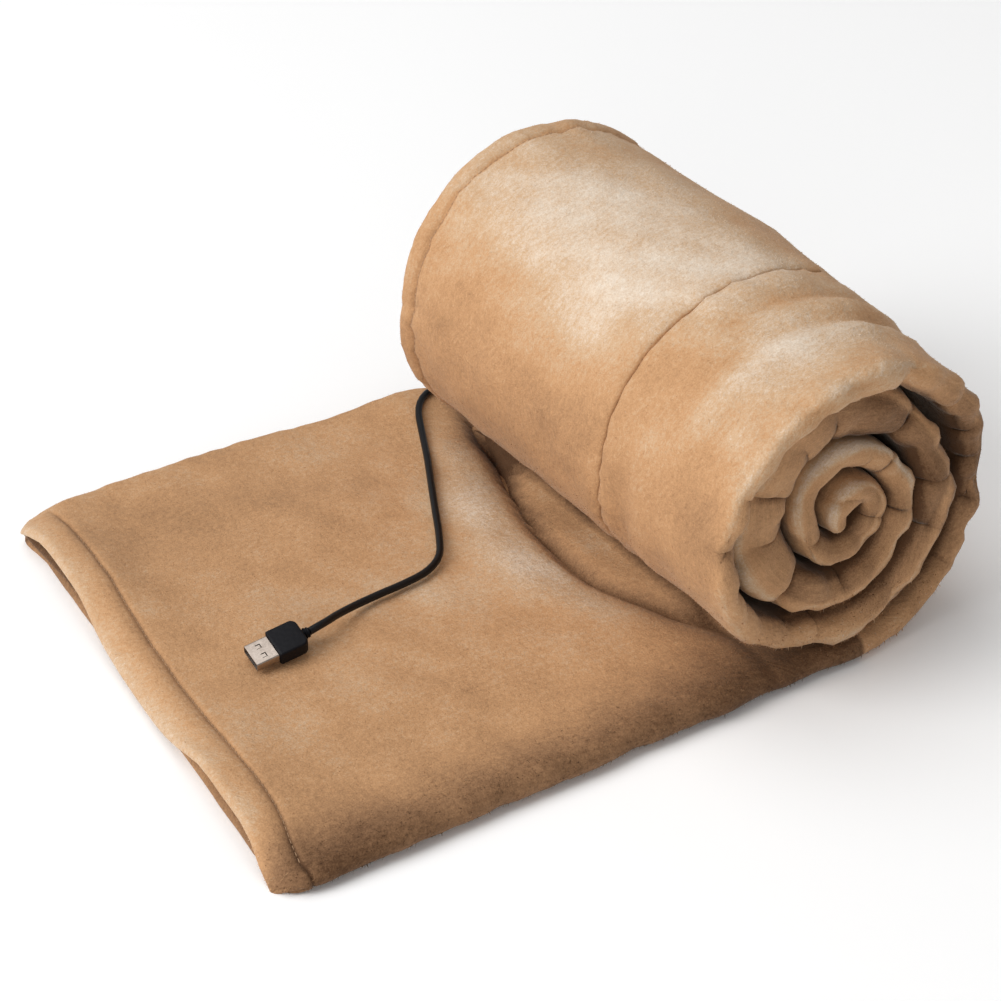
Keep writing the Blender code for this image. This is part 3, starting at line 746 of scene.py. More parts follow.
def free_end(strip, y, points):
    """The free end: its pressed and rounded corners, and the top ply, which hangs over the others but for
    its two lifted places."""
    from_near, from_far = y - strip.near, strip.far - y
    squeezed = SQUEEZE * fade(strip.x, SQUEEZE_LENGTH) * fade(from_near, SQUEEZE_FADE, SQUEEZE_FROM)
    closed = CLOSED * fade(strip.x, CLOSED_LENGTH) * fade(from_near, CLOSED_FADE, CLOSED_FROM)
    far_closed = fade(strip.x, FAR_CLOSED_LENGTH) * fade(from_far, FAR_CLOSED_FADE, FAR_CLOSED_FROM)
    squeezed = 1 - (1 - squeezed) * (1 - closed) * (1 - FAR_CLOSED * far_closed)
    lifted = np.max([bell(y / MM - place, spread) for place, spread in LIFTED], axis=0)
    hanging = 1 - smooth(lifted * LIFT_SHARE)
    loose = strip.upper * (1 - at_folds(strip, y))
    near_end = fade(strip.x, END_REACH)
    over = OVERHANG * (LEAST_OVERHANG + (1 - LEAST_OVERHANG) * hanging) * near_end * loose
    over = over + FAR_OUT * near_end * fade(from_far, FAR_OUT_REACH)
    down = DROOP * hanging * fade(strip.x, DROOP_LENGTH) * loose
    inner = (strip.ply == MIDDLE) * fade(from_near, DRAWN_FADE, DRAWN_TO)
    corner = quarter(from_near, NEAR_CORNER) + quarter(from_far, FAR_CORNER)
    narrow = HEM_NARROWS * strip.x * fade(from_near, HEM_NARROW_REACH) * fade(strip.x, END_REACH, FREE_HEM)
    drawn = MIDDLE_DRAWN_IN * near_end * inner + corner * fade(strip.x, CORNER_FADE) - narrow
    tucked = CORNER_TUCKED * fade(strip.x, TUCKED_LENGTH) * fade(from_near, TUCKED_WIDTH)
    lowest = HALF_STRIP - PLY_PITCH
    points[..., 0] += np.where(strip.wound, 0.0, drawn - over)
    points[..., 1] += np.where(strip.wound, 0.0, tucked)
    points[..., 2] -= np.where(strip.wound, 0.0, squeezed * (points[..., 2] - lowest) + down)


def at_folds(strip, y):
    """1 at the strip's two closed edges and 0 away from them."""
    return fade(np.minimum(y - strip.near, strip.far - y), EDGE_REACH)


def quarter(away, radius):
    """How far a corner rounded to a radius falls back, by the distance from its side."""
    return radius - np.sqrt(radius ** 2 - np.clip(radius - away, 0.0, radius) ** 2)


def beside_the_roll(strip, y, points):
    """The trough in the tongue's top ply beside the roll, its ridge, and the swell that meets the roll."""
    line = curve_values(TROUGH, 1, y / MM) * MM
    depth = curve_values(TROUGH, 2, y / MM) * MM
    away = strip.x - line
    shape = depth * (RIDGE_SHARE * bell(away + RIDGE_AWAY, RIDGE_SPREAD) - bell(away, TROUGH_SPREAD))
    spread = np.where(strip.x < NIP_RISE_X, NIP_RISE_BEFORE, NIP_RISE_AFTER)
    swell = NIP_RISE * bell(strip.x - NIP_RISE_X, spread) * smooth((away - NIP_RISE_AWAY) / NIP_RISE_FADE)
    swell = swell * smooth((y - NIP_RISE_FROM) / NIP_RISE_FROM_FADE) * fade(y, NIP_RISE_TO_FADE, NIP_RISE_TO)
    share = np.where(strip.ply == TOP, 1.0, np.where(strip.ply == MIDDLE, MIDDLE_FOLLOWS, 0.0))
    points[..., 2] += (shape + swell) * share * ~strip.wound


def gathered(along, off, table):
    """Height of the gathers beside a seam, from the distance run along it and off it."""
    return sum(share * GATHER * gathers(along, length, seed) * bell(off - place, spread)
               for share, length, seed, place, spread in table)


def seam_shift(strip, y, along):
    """How far the roll's outer ply stands proud beside the long seam and the far hem, with their gathers."""
    off_seam = y - strip.near - SEAM_Y
    off_hem = y - strip.far + SIDE_HEM
    shift = SEAM_PUFF * bell(np.abs(off_seam) - SEAM_PUFF_AWAY, SEAM_PUFF_SPREAD)
    shift = shift - SEAM_SINKS * bell(off_seam, GROOVE_WIDTH)
    shift = shift + gathered(along, np.abs(off_seam), SEAM_GATHERS) + gathered(along, off_hem, HEM_GATHERS)
    return np.where((strip.ply == BOTTOM) & strip.wound, shift, 0.0)


def crease_depth(strip, y):
    """How deep the creases across the near fold are: a sharp line where one side laps over the other."""
    radius = curve_values(ROLL_TABLE, 1, strip.turn) * MM
    total = 0.0
    for turn, spread, depth, side in CREASES:
        off = np.radians(strip.turn - turn) * radius
        away = np.abs(off)
        lap = CREASE_LAP * np.sign(off) * np.exp(-away / CREASE_LAP_REACH)
        form = CREASE_LINE * np.exp(-away / CREASE_WIDTH) + CREASE_DIP * bell(strip.turn - turn, spread) + lap
        total = total + depth * MM * form * bell(strip.side - side, CREASE_SIDE)
    return total * strip.wound * fade(y - strip.near, CREASE_REACH)


def crumple(strip, y, middle):
    """Small unevenness and pleats of the near fold."""
    pleats = PLEAT * gathers(run_along(strip.spine)[:, None], PLEAT_LENGTH, 17)
    pleats = pleats * smooth((PLEAT_SIDE - strip.side) / PLEAT_SIDE_FADE)
    uneven = (CRUMPLE * ripples(middle, CRUMPLE_LENGTH, 13) + pleats) * smooth(strip.turn / CRUMPLE_START)
    return uneven * fade(y - strip.near, CREASE_REACH)


def nap_tone_and_painted_light(strip, y, points, seams, crease):
    """Tone over the cloth, from -1 dark to 1 pale: the brushed nap's own unevenness, with painted light and
    shade on top.
    """
    from_near = y - strip.near
    # painted highlight on the ridge beside the trough, painted shade where the roll rests on the tongue
    tongue = bumps(strip.x / MM, y / MM, TONGUE_TONES)
    # painted highlight along the free end's edge
    tongue = tongue + HEM_HIGHLIGHT * fade(strip.x, HEM_HIGHLIGHT_REACH) * strip.upper
    # painted shade along the trough
    trough = bell(strip.x - curve_values(TROUGH, 1, y / MM) * MM - TROUGH_SHADE_AWAY, TROUGH_SHADE_SPREAD)
    trough = trough * curve_values(TROUGH, 2, y / MM) / TROUGH_SHADE_DEPTH
    tongue = tongue - TROUGH_SHADE * trough * (strip.ply == TOP)
    shade = MOUTH_TONE * (strip.ply == MIDDLE) + END_TONE * (strip.ply == BOTTOM)
    tongue = tongue - fade(strip.x, SHADE_FADE, SHADE_FROM) * shade
    # painted highlight over the roll's top, painted shade low on its side towards the tongue
    roll = bumps(strip.turn, y / MM, ROLL_TONES)
    # painted highlight on the wrinkles and painted shade beside them
    roll = roll + WRINKLE_LIGHT_AND_SHADE * bumps(strip.turn, y / MM, WRINKLES) * (strip.ply == BOTTOM)
    # painted shade on the roll's near end, with painted light towards the core
    face = FACE_SHADE + sum(tone * bell(strip.turn - turn, spread) for turn, spread, tone in FACE_LIGHT_AND_SHADE)
    wound = smooth(strip.turn / FACE_START)
    inner = smooth((strip.turn - INNER_FROM) / INNER_FADE)
    rim_side = RIM_SIDE - RIM_SWING * (1 - np.cos(np.radians(strip.turn - RIM_TURN)))
    # painted highlight along each turn's rim
    rim = RIM_HIGHLIGHT * bell(strip.side - rim_side, RIM_SPREAD) * (OUTER_RIM + (1 - OUTER_RIM) * inner)
    # painted shade beside the next turn
    rim = rim - GAP_SHADE * smooth((-strip.side - GAP_SIDE) / GAP_SIDE_FADE)
    rim = rim * wound * fade(from_near, FACE_FADE, FACE_FROM)
    within = np.where(strip.ply == TOP, wound, inner * (strip.ply == BOTTOM))
    # painted shade deep between the turns
    deep = DEEP_SHADE * within * smooth((from_near - DEEP_FROM) / FACE_FADE)
    tone = np.where(strip.wound, roll * (1 - inner) + face * inner + rim - deep, tongue)
    tone = tone + sum(share * ripples(points, size, seed) for size, share, seed in PATCH_TONES)
    # painted shade in the seams and creases, painted highlight where a crease's lap swells
    return tone + SEAM_SHADE * seams - CREASE_SHADE * np.clip(crease / CREASE_SHADE_DEPTH, CREASE_PALEST, 1.0)


def make_cloth(surface):
    """The throw: one closed sheet on its folds. Also gives the lines of its sewing."""
    strip = Strip()
    y, height = strip.section()
    middle = strip.place(y, height)
    free_end(strip, y, middle)
    beside_the_roll(strip, y, middle)
    along = reach(middle, 0)
    across = reach(middle, 1)
    to_end = along[-1:] - along
    to_side = across[:, -1:] - across
    free = np.broadcast_to(strip.x + np.where(strip.wound, 1.0, 0.0), y.shape)
    outer = (strip.ply == BOTTOM) & strip.wound
    off_seam = np.where(outer, y - strip.near - SEAM_Y, 1.0)
    folds = at_folds(strip, y)
    far_edge = fade(strip.far - y, FAR_HEM_FADE, FAR_HEM_FROM)
    thickness = PLY * (1 - CORNER_THINS * folds * fade(free, END_REACH))
    thickness = thickness + hem_profile(free, FREE_HEM, 1 - FOLDED_HEM * folds, 1 - far_edge)
    thickness += hem_profile(to_end, END_HEM) + hem_profile(to_side, SIDE_HEM) + hem_profile(across, SIDE_HEM)
    thickness -= SEAM_THINS * bell(off_seam, GROOVE_WIDTH)
    thickness = np.maximum(thickness, LEAST_THICKNESS)
    for distance in (along, to_end, across, to_side):
        thickness *= rounded(distance)
    # where painted shade lies along the seams
    seams = sum(bell(distance, SEAM_SHADE_WIDTH) for distance in (
        to_end - END_HEM, to_side - SIDE_HEM, across - SIDE_HEM, off_seam))
    seams = seams + bell(free - FREE_HEM, SEAM_SHADE_WIDTH) * (1 - far_edge)
    crease = crease_depth(strip, y)
    shift = seam_shift(strip, y, along) + crumple(strip, y, middle) - crease
    shift += np.where(outer, WRINKLE_SHARE * MM * bumps(strip.turn, y / MM, WRINKLES), 0.0)
    shift += sum(height * ripples(middle, size, seed) for size, height, seed in UNEVEN)
    middle = middle + outward(middle) * shift[..., None]
    normal = outward(middle)
    half = normal * thickness[..., None] / 2
    front, back = middle + half, middle - half
    tone = nap_tone_and_painted_light(strip, y, middle, seams, crease)
    grain = np.stack([along, across, np.zeros_like(along)], -1)
    obj = closed_sheet("throw", front, back)
    write_layer(obj, "tone", "FLOAT", np.concatenate([tone.ravel()] * 2))
    write_layer(obj, "grain", "FLOAT_VECTOR", np.concatenate([grain.reshape(-1, 3)] * 2))
    obj.data.materials.append(surface)
    return obj, seam_paths(strip, front, normal)


def seam_paths(strip, front, normal):
    """Where the sewing shows: points and normals along the free hem, the long seam and the far hem."""
    first_below = int(np.argmax(strip.ply[0] == BOTTOM))
    seam = first_below + BEFORE_SEAM_COLUMNS + SEAM_COLUMNS.index(0.0)
    hem = first_below + BEFORE_SEAM_COLUMNS + len(SEAM_COLUMNS) + AFTER_SEAM_COLUMNS
    hem += SIDE_HEM_COLUMNS.index(SIDE_HEM / MM)
    outer = np.flatnonzero(strip.wound[:, 0] & (strip.turn[:, 0] > SEWN_FROM) & (strip.turn[:, 0] < SEWN_TO))
    top = np.flatnonzero(strip.ply[0] == TOP)
    row = len(EDGE_STEPS) + HEM_ROWS.index(FREE_HEM / MM)
    return [(front[row, top[3:]], normal[row, top[3:]]), (front[outer, seam], normal[outer, seam]),
            (front[outer, hem], normal[outer, hem])]


def linked(name, data):
    """A new object in the scene."""
    obj = bpy.data.objects.new(name, data)
    bpy.context.scene.collection.objects.link(obj)
    return obj


def new_mesh(name, points, faces, corners):
    """A mesh object from arrays; every face has the same number of corners."""
    mesh = bpy.data.meshes.new(name)
    mesh.vertices.add(len(points))
    mesh.vertices.foreach_set("co", np.asarray(points, np.float32).ravel())
    mesh.loops.add(faces.size)
    mesh.loops.foreach_set("vertex_index", faces.ravel())
    mesh.polygons.add(len(faces))
    mesh.polygons.foreach_set("loop_start", np.arange(len(faces)) * corners)
    mesh.update(calc_edges=True)
    mesh.shade_smooth()
    return linked(name, mesh)


def write_layer(obj, name, kind, values):
    """A value for every point of a mesh, which its material reads."""
    layer = obj.data.attributes.new(name, kind, "POINT")
    layer.data.foreach_set("value" if kind == "FLOAT" else "vector", np.asarray(values, np.float32).ravel())


def closed_sheet(name, front, back):
    """One closed mesh from the two faces of a grid, joined along its rim."""
    rows, columns = front.shape[:2]
    number = np.arange(rows * columns).reshape(rows, columns)
    quads = np.stack([number[:-1, :-1], number[:-1, 1:], number[1:, 1:], number[1:, :-1]], -1).reshape(-1, 4)
    under = quads[:, ::-1] + rows * columns
    rim = np.concatenate([number[0, :], number[1:, -1], number[-1, -2::-1], number[-2:0:-1, 0]])
    following = np.roll(rim, -1)
    sides = np.stack([following, rim, rim + rows * columns, following + rows * columns], -1)
    faces = np.concatenate([quads, under, sides])
    points = np.concatenate([front.reshape(-1, 3), back.reshape(-1, 3)])
    return new_mesh(name, points, faces, 4)


# ================================================================ the sewing
def make_stitches(paths, surface):
    """Thread lying in the seams, one short bent piece for each stitch, joined in one mesh."""
    girth = THREAD / 2 * np.array(STITCH_GIRTHS)
    rise = np.array(STITCH_RISES) * THREAD
    angle = np.arange(6) * math.pi / 3
    rings = []
    for line, normal in paths:
        run = run_along(line)
        starts = np.arange(STITCH_GAP, run[-1] - STITCH_LENGTH, STITCH_LENGTH + STITCH_GAP)
        at = starts[:, None] + STITCH_LENGTH * np.array(STITCH_PLACES)
        centre = np.stack([np.interp(at, run, line[:, axis]) for axis in range(3)], -1)
        up = unit(np.stack([np.interp(at, run, normal[:, axis]) for axis in range(3)], -1))
        beside = unit(np.cross(centre[:, -1:] - centre[:, :1], up))
        centre = centre + up * rise[None, :, None]
        round_it = (np.cos(angle)[None, None, :, None] * beside[:, :, None]
                    + np.sin(angle)[None, None, :, None] * up[:, :, None])
        rings.append((centre[:, :, None] + girth[None, :, None, None] * round_it).reshape(-1, 3))
    points = np.concatenate(rings)
    corner = np.arange(24).reshape(4, 6)
    beyond = np.roll(corner, -1, axis=1)
    sides = np.stack([corner, corner + 6, beyond + 6, beyond], -1).reshape(-1, 4)
    ends = np.array([(0, 1, 2, 3), (0, 3, 4, 5), (27, 26, 25, 24), (29, 28, 27, 24)])
    stitch = np.concatenate([sides, ends])
    faces = (stitch[None] + 30 * np.arange(len(points) // 30)[:, None, None]).reshape(-1, 4)
    obj = new_mesh("stitches", points, faces, 4)
    obj.data.materials.append(surface)
    return obj


# ================================================================ the pile
def read_rows(rows, name, width, kind=np.float32):
    """A value of each vertex, face or row of a layer, as an array."""
    values = np.empty(len(rows) * width, kind)
    rows.foreach_get(name, values)
    return values.reshape(-1, width)


def make_pile(throw, surface):
    """Short tufts on every part of the cloth that lies open, leaning along the nap."""
    mesh = throw.data
    points = read_rows(mesh.vertices, "co", 3).astype(float)
    tone = read_rows(mesh.attributes["tone"].data, "value", 1)[:, 0]
    grain = read_rows(mesh.attributes["grain"].data, "vector", 3)
    faces = read_rows(mesh.polygons, "vertices", 4, np.int32)
    corners = points[faces]
    normal = np.cross(corners[:, 2] - corners[:, 0], corners[:, 3] - corners[:, 1])
    area = np.linalg.norm(normal, axis=1) / 2
    normal = unit(normal)
    centre = corners.mean(1)
    tree = BVHTree.FromPolygons([tuple(p) for p in points], [tuple(f) for f in faces.tolist()])
    open_faces = np.zeros(len(faces), bool)
    for index in range(len(faces)):
        start = centre[index] + normal[index] * TUFT_CLEAR
        hit = tree.ray_cast(Vector(start), Vector(normal[index]), TUFT_ROOM)
        open_faces[index] = hit[0] is None and start[2] > TUFT_FLOOR
    chance = np.random.default_rng(3)
    weight = np.where(open_faces, area, 0.0)
    chosen = chance.choice(len(faces), TUFTS, p=weight / weight.sum())
    u, v = chance.random((2, TUFTS, 1))
    quad = corners[chosen]
    root = (1 - u) * (1 - v) * quad[:, 0] + u * (1 - v) * quad[:, 1]
    root += u * v * quad[:, 2] + (1 - u) * v * quad[:, 3]
    stand = normal[chosen]
    lean = unit(quad[:, 0] - quad[:, 3]) * TUFT_LEAN + chance.normal(size=(TUFTS, 3)) * TUFT_SCATTER
    way = unit(stand + lean)
    side = unit(np.cross(way, stand) + chance.normal(size=(TUFTS, 3)) * TUFT_TWIST)
    rough = fade(root[:, 1:2] + ORIGIN[1], ROUGH_EDGE)
    rough *= (root[:, 2:] < CORE_HEIGHT / 2) & (root[:, :1] < NIP_X - ORIGIN[0] + ROUGH_PAST_NIP)
    longer = 1 + ROUGH_LONGER * rough
    length = TUFT_LENGTH * chance.uniform(*TUFT_LENGTHS, (TUFTS, 1)) * longer
    width = side * TUFT_WIDTH * chance.uniform(*TUFT_WIDTHS, (TUFTS, 1)) * longer
    sunk = root - stand * TUFT_SUNK
    tufts = np.stack([sunk + width / 2, sunk - width / 2, sunk + way * length], 1).reshape(-1, 3)
    obj = new_mesh("pile", tufts, np.arange(TUFTS * 3).reshape(-1, 3), 3)
    uneven = TUFT_TONE * chance.normal(size=TUFTS) * longer[:, 0]
    clump = CLUMP_TONE * rough[:, 0] * ripples(root, CLUMP_SIZE, 31)
    tuft_tone = tone[faces[chosen, 0]] + uneven + clump
    # the tufts' tone, with painted shade at the roots and painted highlight at the tips
    write_layer(obj, "tone", "FLOAT", np.repeat(tuft_tone, 3) + np.tile(TUFT_ROOT_SHADE_AND_TIP_LIGHT, TUFTS))
    write_layer(obj, "grain", "FLOAT_VECTOR", np.repeat(grain[faces[chosen, 0]], 3, axis=0))
    obj.data.materials.append(surface)
    return obj


# ================================================================ materials
def fill(node, values):
    """Plain values on a node's own sockets."""
    for name, value in values.items():
        node.inputs[name].default_value = value


def new_material(name, colour, roughness, metallic=0.0):
    made = bpy.data.materials.new(name)
    made.use_nodes = True
    shader = made.node_tree.nodes["Principled BSDF"]
    fill(shader, {"Base Color": (*colour, 1.0), "Roughness": roughness, "Metallic": metallic})
    return made, made.node_tree, shader


def noise(tree, scale, detail=2.0, roughness=0.5):
    """A noise texture in the object's own coordinates, its scale in features for each metre."""
    place = tree.nodes.new("ShaderNodeTexCoord")
    texture = tree.nodes.new("ShaderNodeTexNoise")
    fill(texture, {"Scale": scale, "Detail": detail, "Roughness": roughness})
    tree.links.new(place.outputs["Object"], texture.inputs["Vector"])
    return texture.outputs["Fac"]


def arithmetic(tree, kind, first, second, third=None):
    node = tree.nodes.new("ShaderNodeMath")
    node.operation = kind
    for socket, value in zip(node.inputs, (first, second, third)):
        if isinstance(value, (int, float)):
            socket.default_value = value
        elif value is not None:
            tree.links.new(value, socket)
    return node.outputs["Value"]


def ramp(tree, value, stops):
    """Colours along a value: stops are (place, colour)."""
    node = tree.nodes.new("ShaderNodeValToRGB")
    elements = node.color_ramp.elements
    while len(elements) < len(stops):
        elements.new(0.5)
    for element, (place, colour) in zip(elements, stops):
        element.position = place
        element.color = (*colour, 1.0)
    tree.links.new(value, node.inputs["Fac"])
    return node.outputs["Color"]


def bump(tree, shader, heights):
    """Bumps one over another: heights are (value, strength, distance in metres)."""
    before = None
    for value, strength, distance in heights:
        node = tree.nodes.new("ShaderNodeBump")
        fill(node, {"Strength": strength, "Distance": distance})
        tree.links.new(value, node.inputs["Height"])
        if before is not None:
            tree.links.new(before, node.inputs["Normal"])
        before = node.outputs["Normal"]
    tree.links.new(before, shader.inputs["Normal"])


# Plush colour by tone: dark painted shade at the low end, the plush's own camel in the middle, and at the
# high end a pale, less saturated painted highlight as well as the paler brushed nap: tone, colour
PLUSH_COLOURS = (
    (0.00, (0.100, 0.048, 0.022)),
    (0.24, (0.270, 0.146, 0.073)),
    (0.50, (0.500, 0.278, 0.136)),
    (0.62, (0.545, 0.366, 0.224)),
    (0.80, (0.680, 0.565, 0.450)),
    (1.00, (0.810, 0.730, 0.640)),
)
# Streaks of the pile: features for each metre along and across the strip, share of the tone
PLUSH_STREAKS = ((260, 620, 0.17), (70, 150, 0.09))
# Its grain: features for each metre, detail, share of the tone
PLUSH_GRAIN = ((1500, 2.0, 0.28), (480, 3.0, 0.19))
PLUSH_SHEEN = {"Sheen Weight": 0.16, "Sheen Roughness": 0.40, "Sheen Tint": (1.0, 0.90, 0.78, 1.0),
               "Specular IOR Level": 0.12}


def plush_material(name, with_bump):
    made, tree, shader = new_material(name, (0.50, 0.28, 0.14), 0.72)
    layer = tree.nodes.new("ShaderNodeAttribute")
    layer.attribute_name = "tone"
    tone = arithmetic(tree, "MULTIPLY_ADD", layer.outputs["Fac"], 0.5, 0.5)
    for along, across, share in PLUSH_STREAKS:
        streak = arithmetic(tree, "SUBTRACT", streaks(tree, along, across), 0.5)
        tone = arithmetic(tree, "MULTIPLY_ADD", streak, share, tone)
    for scale, detail, share in PLUSH_GRAIN:
        grain = arithmetic(tree, "SUBTRACT", noise(tree, scale, detail, 0.55), 0.5)
        tone = arithmetic(tree, "MULTIPLY_ADD", grain, share, tone)
    tree.links.new(ramp(tree, tone, PLUSH_COLOURS), shader.inputs["Base Color"])
    fill(shader, PLUSH_SHEEN)
    if with_bump:
        bump(tree, shader, (
            (noise(tree, 100, 2.0, 0.5), 0.30, 0.0016),
            (noise(tree, 300, 3.0, 0.55), 0.40, 0.0012),
            (streaks(tree, 350, 900), 0.35, 0.0006),
            (noise(tree, 1100, 2.0, 0.6), 0.55, 0.0004)))
    return made


def streaks(tree, along, across):
    """Noise drawn out along the strip, by the cloth's own coordinates."""
    layer = tree.nodes.new("ShaderNodeAttribute")
    layer.attribute_name = "grain"
    place = tree.nodes.new("ShaderNodeMapping")
    fill(place, {"Scale": (along, across, 1.0)})
    texture = tree.nodes.new("ShaderNodeTexNoise")
    fill(texture, {"Scale": 1.0, "Detail": 2.0})
    tree.links.new(layer.outputs["Vector"], place.inputs["Vector"])
    tree.links.new(place.outputs["Vector"], texture.inputs["Vector"])
    return texture.outputs["Fac"]


# The other materials: colour, roughness, metallic, specular level, what runs between two values by a
# noise, and the noise, strength and distance (m) of the bumps
FINISHES = {
    "thread": ((0.38, 0.22, 0.12), 0.6, 0.0, 0.5,
               (("Base Color", (900,), (0.30, 0.170, 0.090), (0.46, 0.280, 0.155)),),
               ((3500,), 0.4, 0.0001)),
    "black cord": ((0.005, 0.005, 0.006), 0.33, 0.0, 0.24,
                   (("Roughness", (160, 3.0), (0.30,) * 3, (0.44,) * 3),),
                   ((900,), 0.15, 0.0002)),
    "black moulding": ((0.004, 0.004, 0.006), 0.50, 0.0, 0.15,
                       (("Roughness", (700, 3.0), (0.42,) * 3, (0.60,) * 3),),
                       ((5000,), 0.30, 0.0001)),
    "plated steel": ((0.42, 0.35, 0.30), 0.34, 1.0, 0.5,
                     (("Base Color", (300, 3.0, 0.55), (0.38, 0.32, 0.275), (0.46, 0.395, 0.345)),
                      ("Roughness", (900, 3.0, 0.6), (0.28,) * 3, (0.44,) * 3)),
                     ((1400, 3.0), 0.06, 0.0001)),
    "dark insulator": ((0.02, 0.02, 0.022), 0.55, 0.0, 0.5,
                       (("Base Color", (1200,), (0.014, 0.014, 0.016), (0.030, 0.030, 0.033)),),
                       ((3000,), 0.1, 0.0001)),
    "contact plating": ((0.72, 0.50, 0.20), 0.25, 1.0, 0.5,
                        (("Base Color", (1500,), (0.60, 0.40, 0.15), (0.80, 0.58, 0.26)),),
                        ((3000,), 0.05, 0.0001)),
}


def plain_material(name):
    """One of the materials that the table gives."""
    colour, roughness, metallic, specular, varied, (relief, strength, distance) = FINISHES[name]
    made, tree, shader = new_material(name, colour, roughness, metallic)
    fill(shader, {"Specular IOR Level": specular})
    for socket, texture, low, high in varied:
        between = ramp(tree, noise(tree, *texture), ((0.3, low), (0.7, high)))
        tree.links.new(between, shader.inputs[socket])
    bump(tree, shader, ((noise(tree, *relief), strength, distance),))
    return made


# ================================================================ the cord and its plug
def strip_point(x, y, z):
    """A point given in the strip's coordinates (mm), in the model's frame."""
    return Vector((x * MM - ORIGIN[0], y * MM - ORIGIN[1], z * MM))


def smooth_route(points, step):
    """Points about one step apart on a smooth curve through the given ones."""
    fine = []
    for index in range(len(points) - 1):
        before = points[max(index - 1, 0)]
        start, end = points[index], points[index + 1]
        after = points[min(index + 2, len(points) - 1)]
        for part in range(20):
            share = part / 20
            fine.append(0.5 * (2 * start + (end - before) * share
                               + (2 * before - 5 * start + 4 * end - after) * share ** 2
                               + (3 * start - before - 3 * end + after) * share ** 3))
    fine.append(points[-1])
    run = [0.0]
    for index in range(1, len(fine)):
        run.append(run[-1] + (fine[index] - fine[index - 1]).length)
    count = round(run[-1] / step)
    axes = [np.interp(np.linspace(0, run[-1], count + 1), run, [p[axis] for p in fine]) for axis in range(3)]
    return [Vector(point) for point in zip(*axes)], run[-1]


def make_cord(surface):
    """The cord's tube, the points of its route and its length."""
    route, length = smooth_route([strip_point(*point) for point in CORD_ROUTE], CORD_STEP)
    curve = bpy.data.curves.new("power_cord", "CURVE")
    curve.dimensions = "3D"
    curve.bevel_depth = CORD_DIAMETER / 2
    curve.bevel_resolution = 5
    curve.use_fill_caps = True
    spline = curve.splines.new("POLY")
    spline.points.add(len(route) - 1)
    for point, at in zip(spline.points, route):
        point.co = (*at, 1.0)
    curve.materials.append(surface)
    return linked("power_cord", curve), route, length


def finished(name, body, place, surface):
    """A mesh object from a bmesh in millimetres, brought to its place."""
    body.transform(place @ Matrix.Scale(MM, 4))
    bmesh.ops.recalc_face_normals(body, faces=body.faces)
    mesh = bpy.data.meshes.new(name)
    body.to_mesh(mesh)
    body.free()
    mesh.shade_smooth()
    mesh.set_sharp_from_angle(angle=math.radians(SHARP))
    mesh.materials.append(surface)
    return linked(name, mesh)


def add_box(body, size, middle=(0.0, 0.0, 0.0), edge=0.0, steps=3):
    """A box with rounded edges, in the same bmesh as what is there already."""
    verts = bmesh.ops.create_cube(body, size=1.0)["verts"]
    bmesh.ops.scale(body, vec=size, verts=verts)
    bmesh.ops.translate(body, vec=middle, verts=verts)
    if edge:
        bevel(body, list({line for vert in verts for line in vert.link_edges}), edge, steps)


def bevel(body, edges, radius, steps):
    bmesh.ops.bevel(body, geom=edges, offset=radius, segments=steps, profile=0.5, affect="EDGES")


def add_turned(body, profile, start, way):
    """A closed turned shape along X, from (distance, radius) pairs; way is 1 or -1."""
    rings = []
    for distance, radius in profile:
        ring = [body.verts.new((start + way * distance, radius * math.cos(turn), radius * math.sin(turn)))
                for turn in (2 * math.pi * side / TURNED_SIDES for side in range(TURNED_SIDES))]
        rings.append(ring)
    for ring, following in zip(rings, rings[1:]):
        for side in range(TURNED_SIDES):
            after = (side + 1) % TURNED_SIDES
            body.faces.new((ring[side], ring[after], following[after], following[side]))
    body.faces.new(rings[0])
    body.faces.new(rings[-1])


def plug_place():
    turns = Euler([math.radians(turn) for turn in PLUG_TURNS])
    return Matrix.Translation(strip_point(*PLUG_PLACE)) @ turns.to_matrix().to_4x4()


def make_grip(surface):
    """The moulded grip, a flat block with rounded shoulders, and its neck ringed to bend with the cord."""
    body = bmesh.new()
    add_box(body, GRIP_SIZE)
    shoulders = [line for line in body.edges if all(vert.co.x < 0 for vert in line.verts)
                 and abs(line.verts[0].co.z - line.verts[1].co.z) > 1]
    bevel(body, shoulders, GRIP_SHOULDER, 6)
    bevel(body, [line for line in body.edges if line.calc_face_angle() > math.radians(SHARP)], GRIP_EDGE, 4)
    add_turned(body, NECK_PROFILE, -GRIP_SIZE[0] / 2, -1)
    return finished("plug_grip", body, plug_place(), surface)


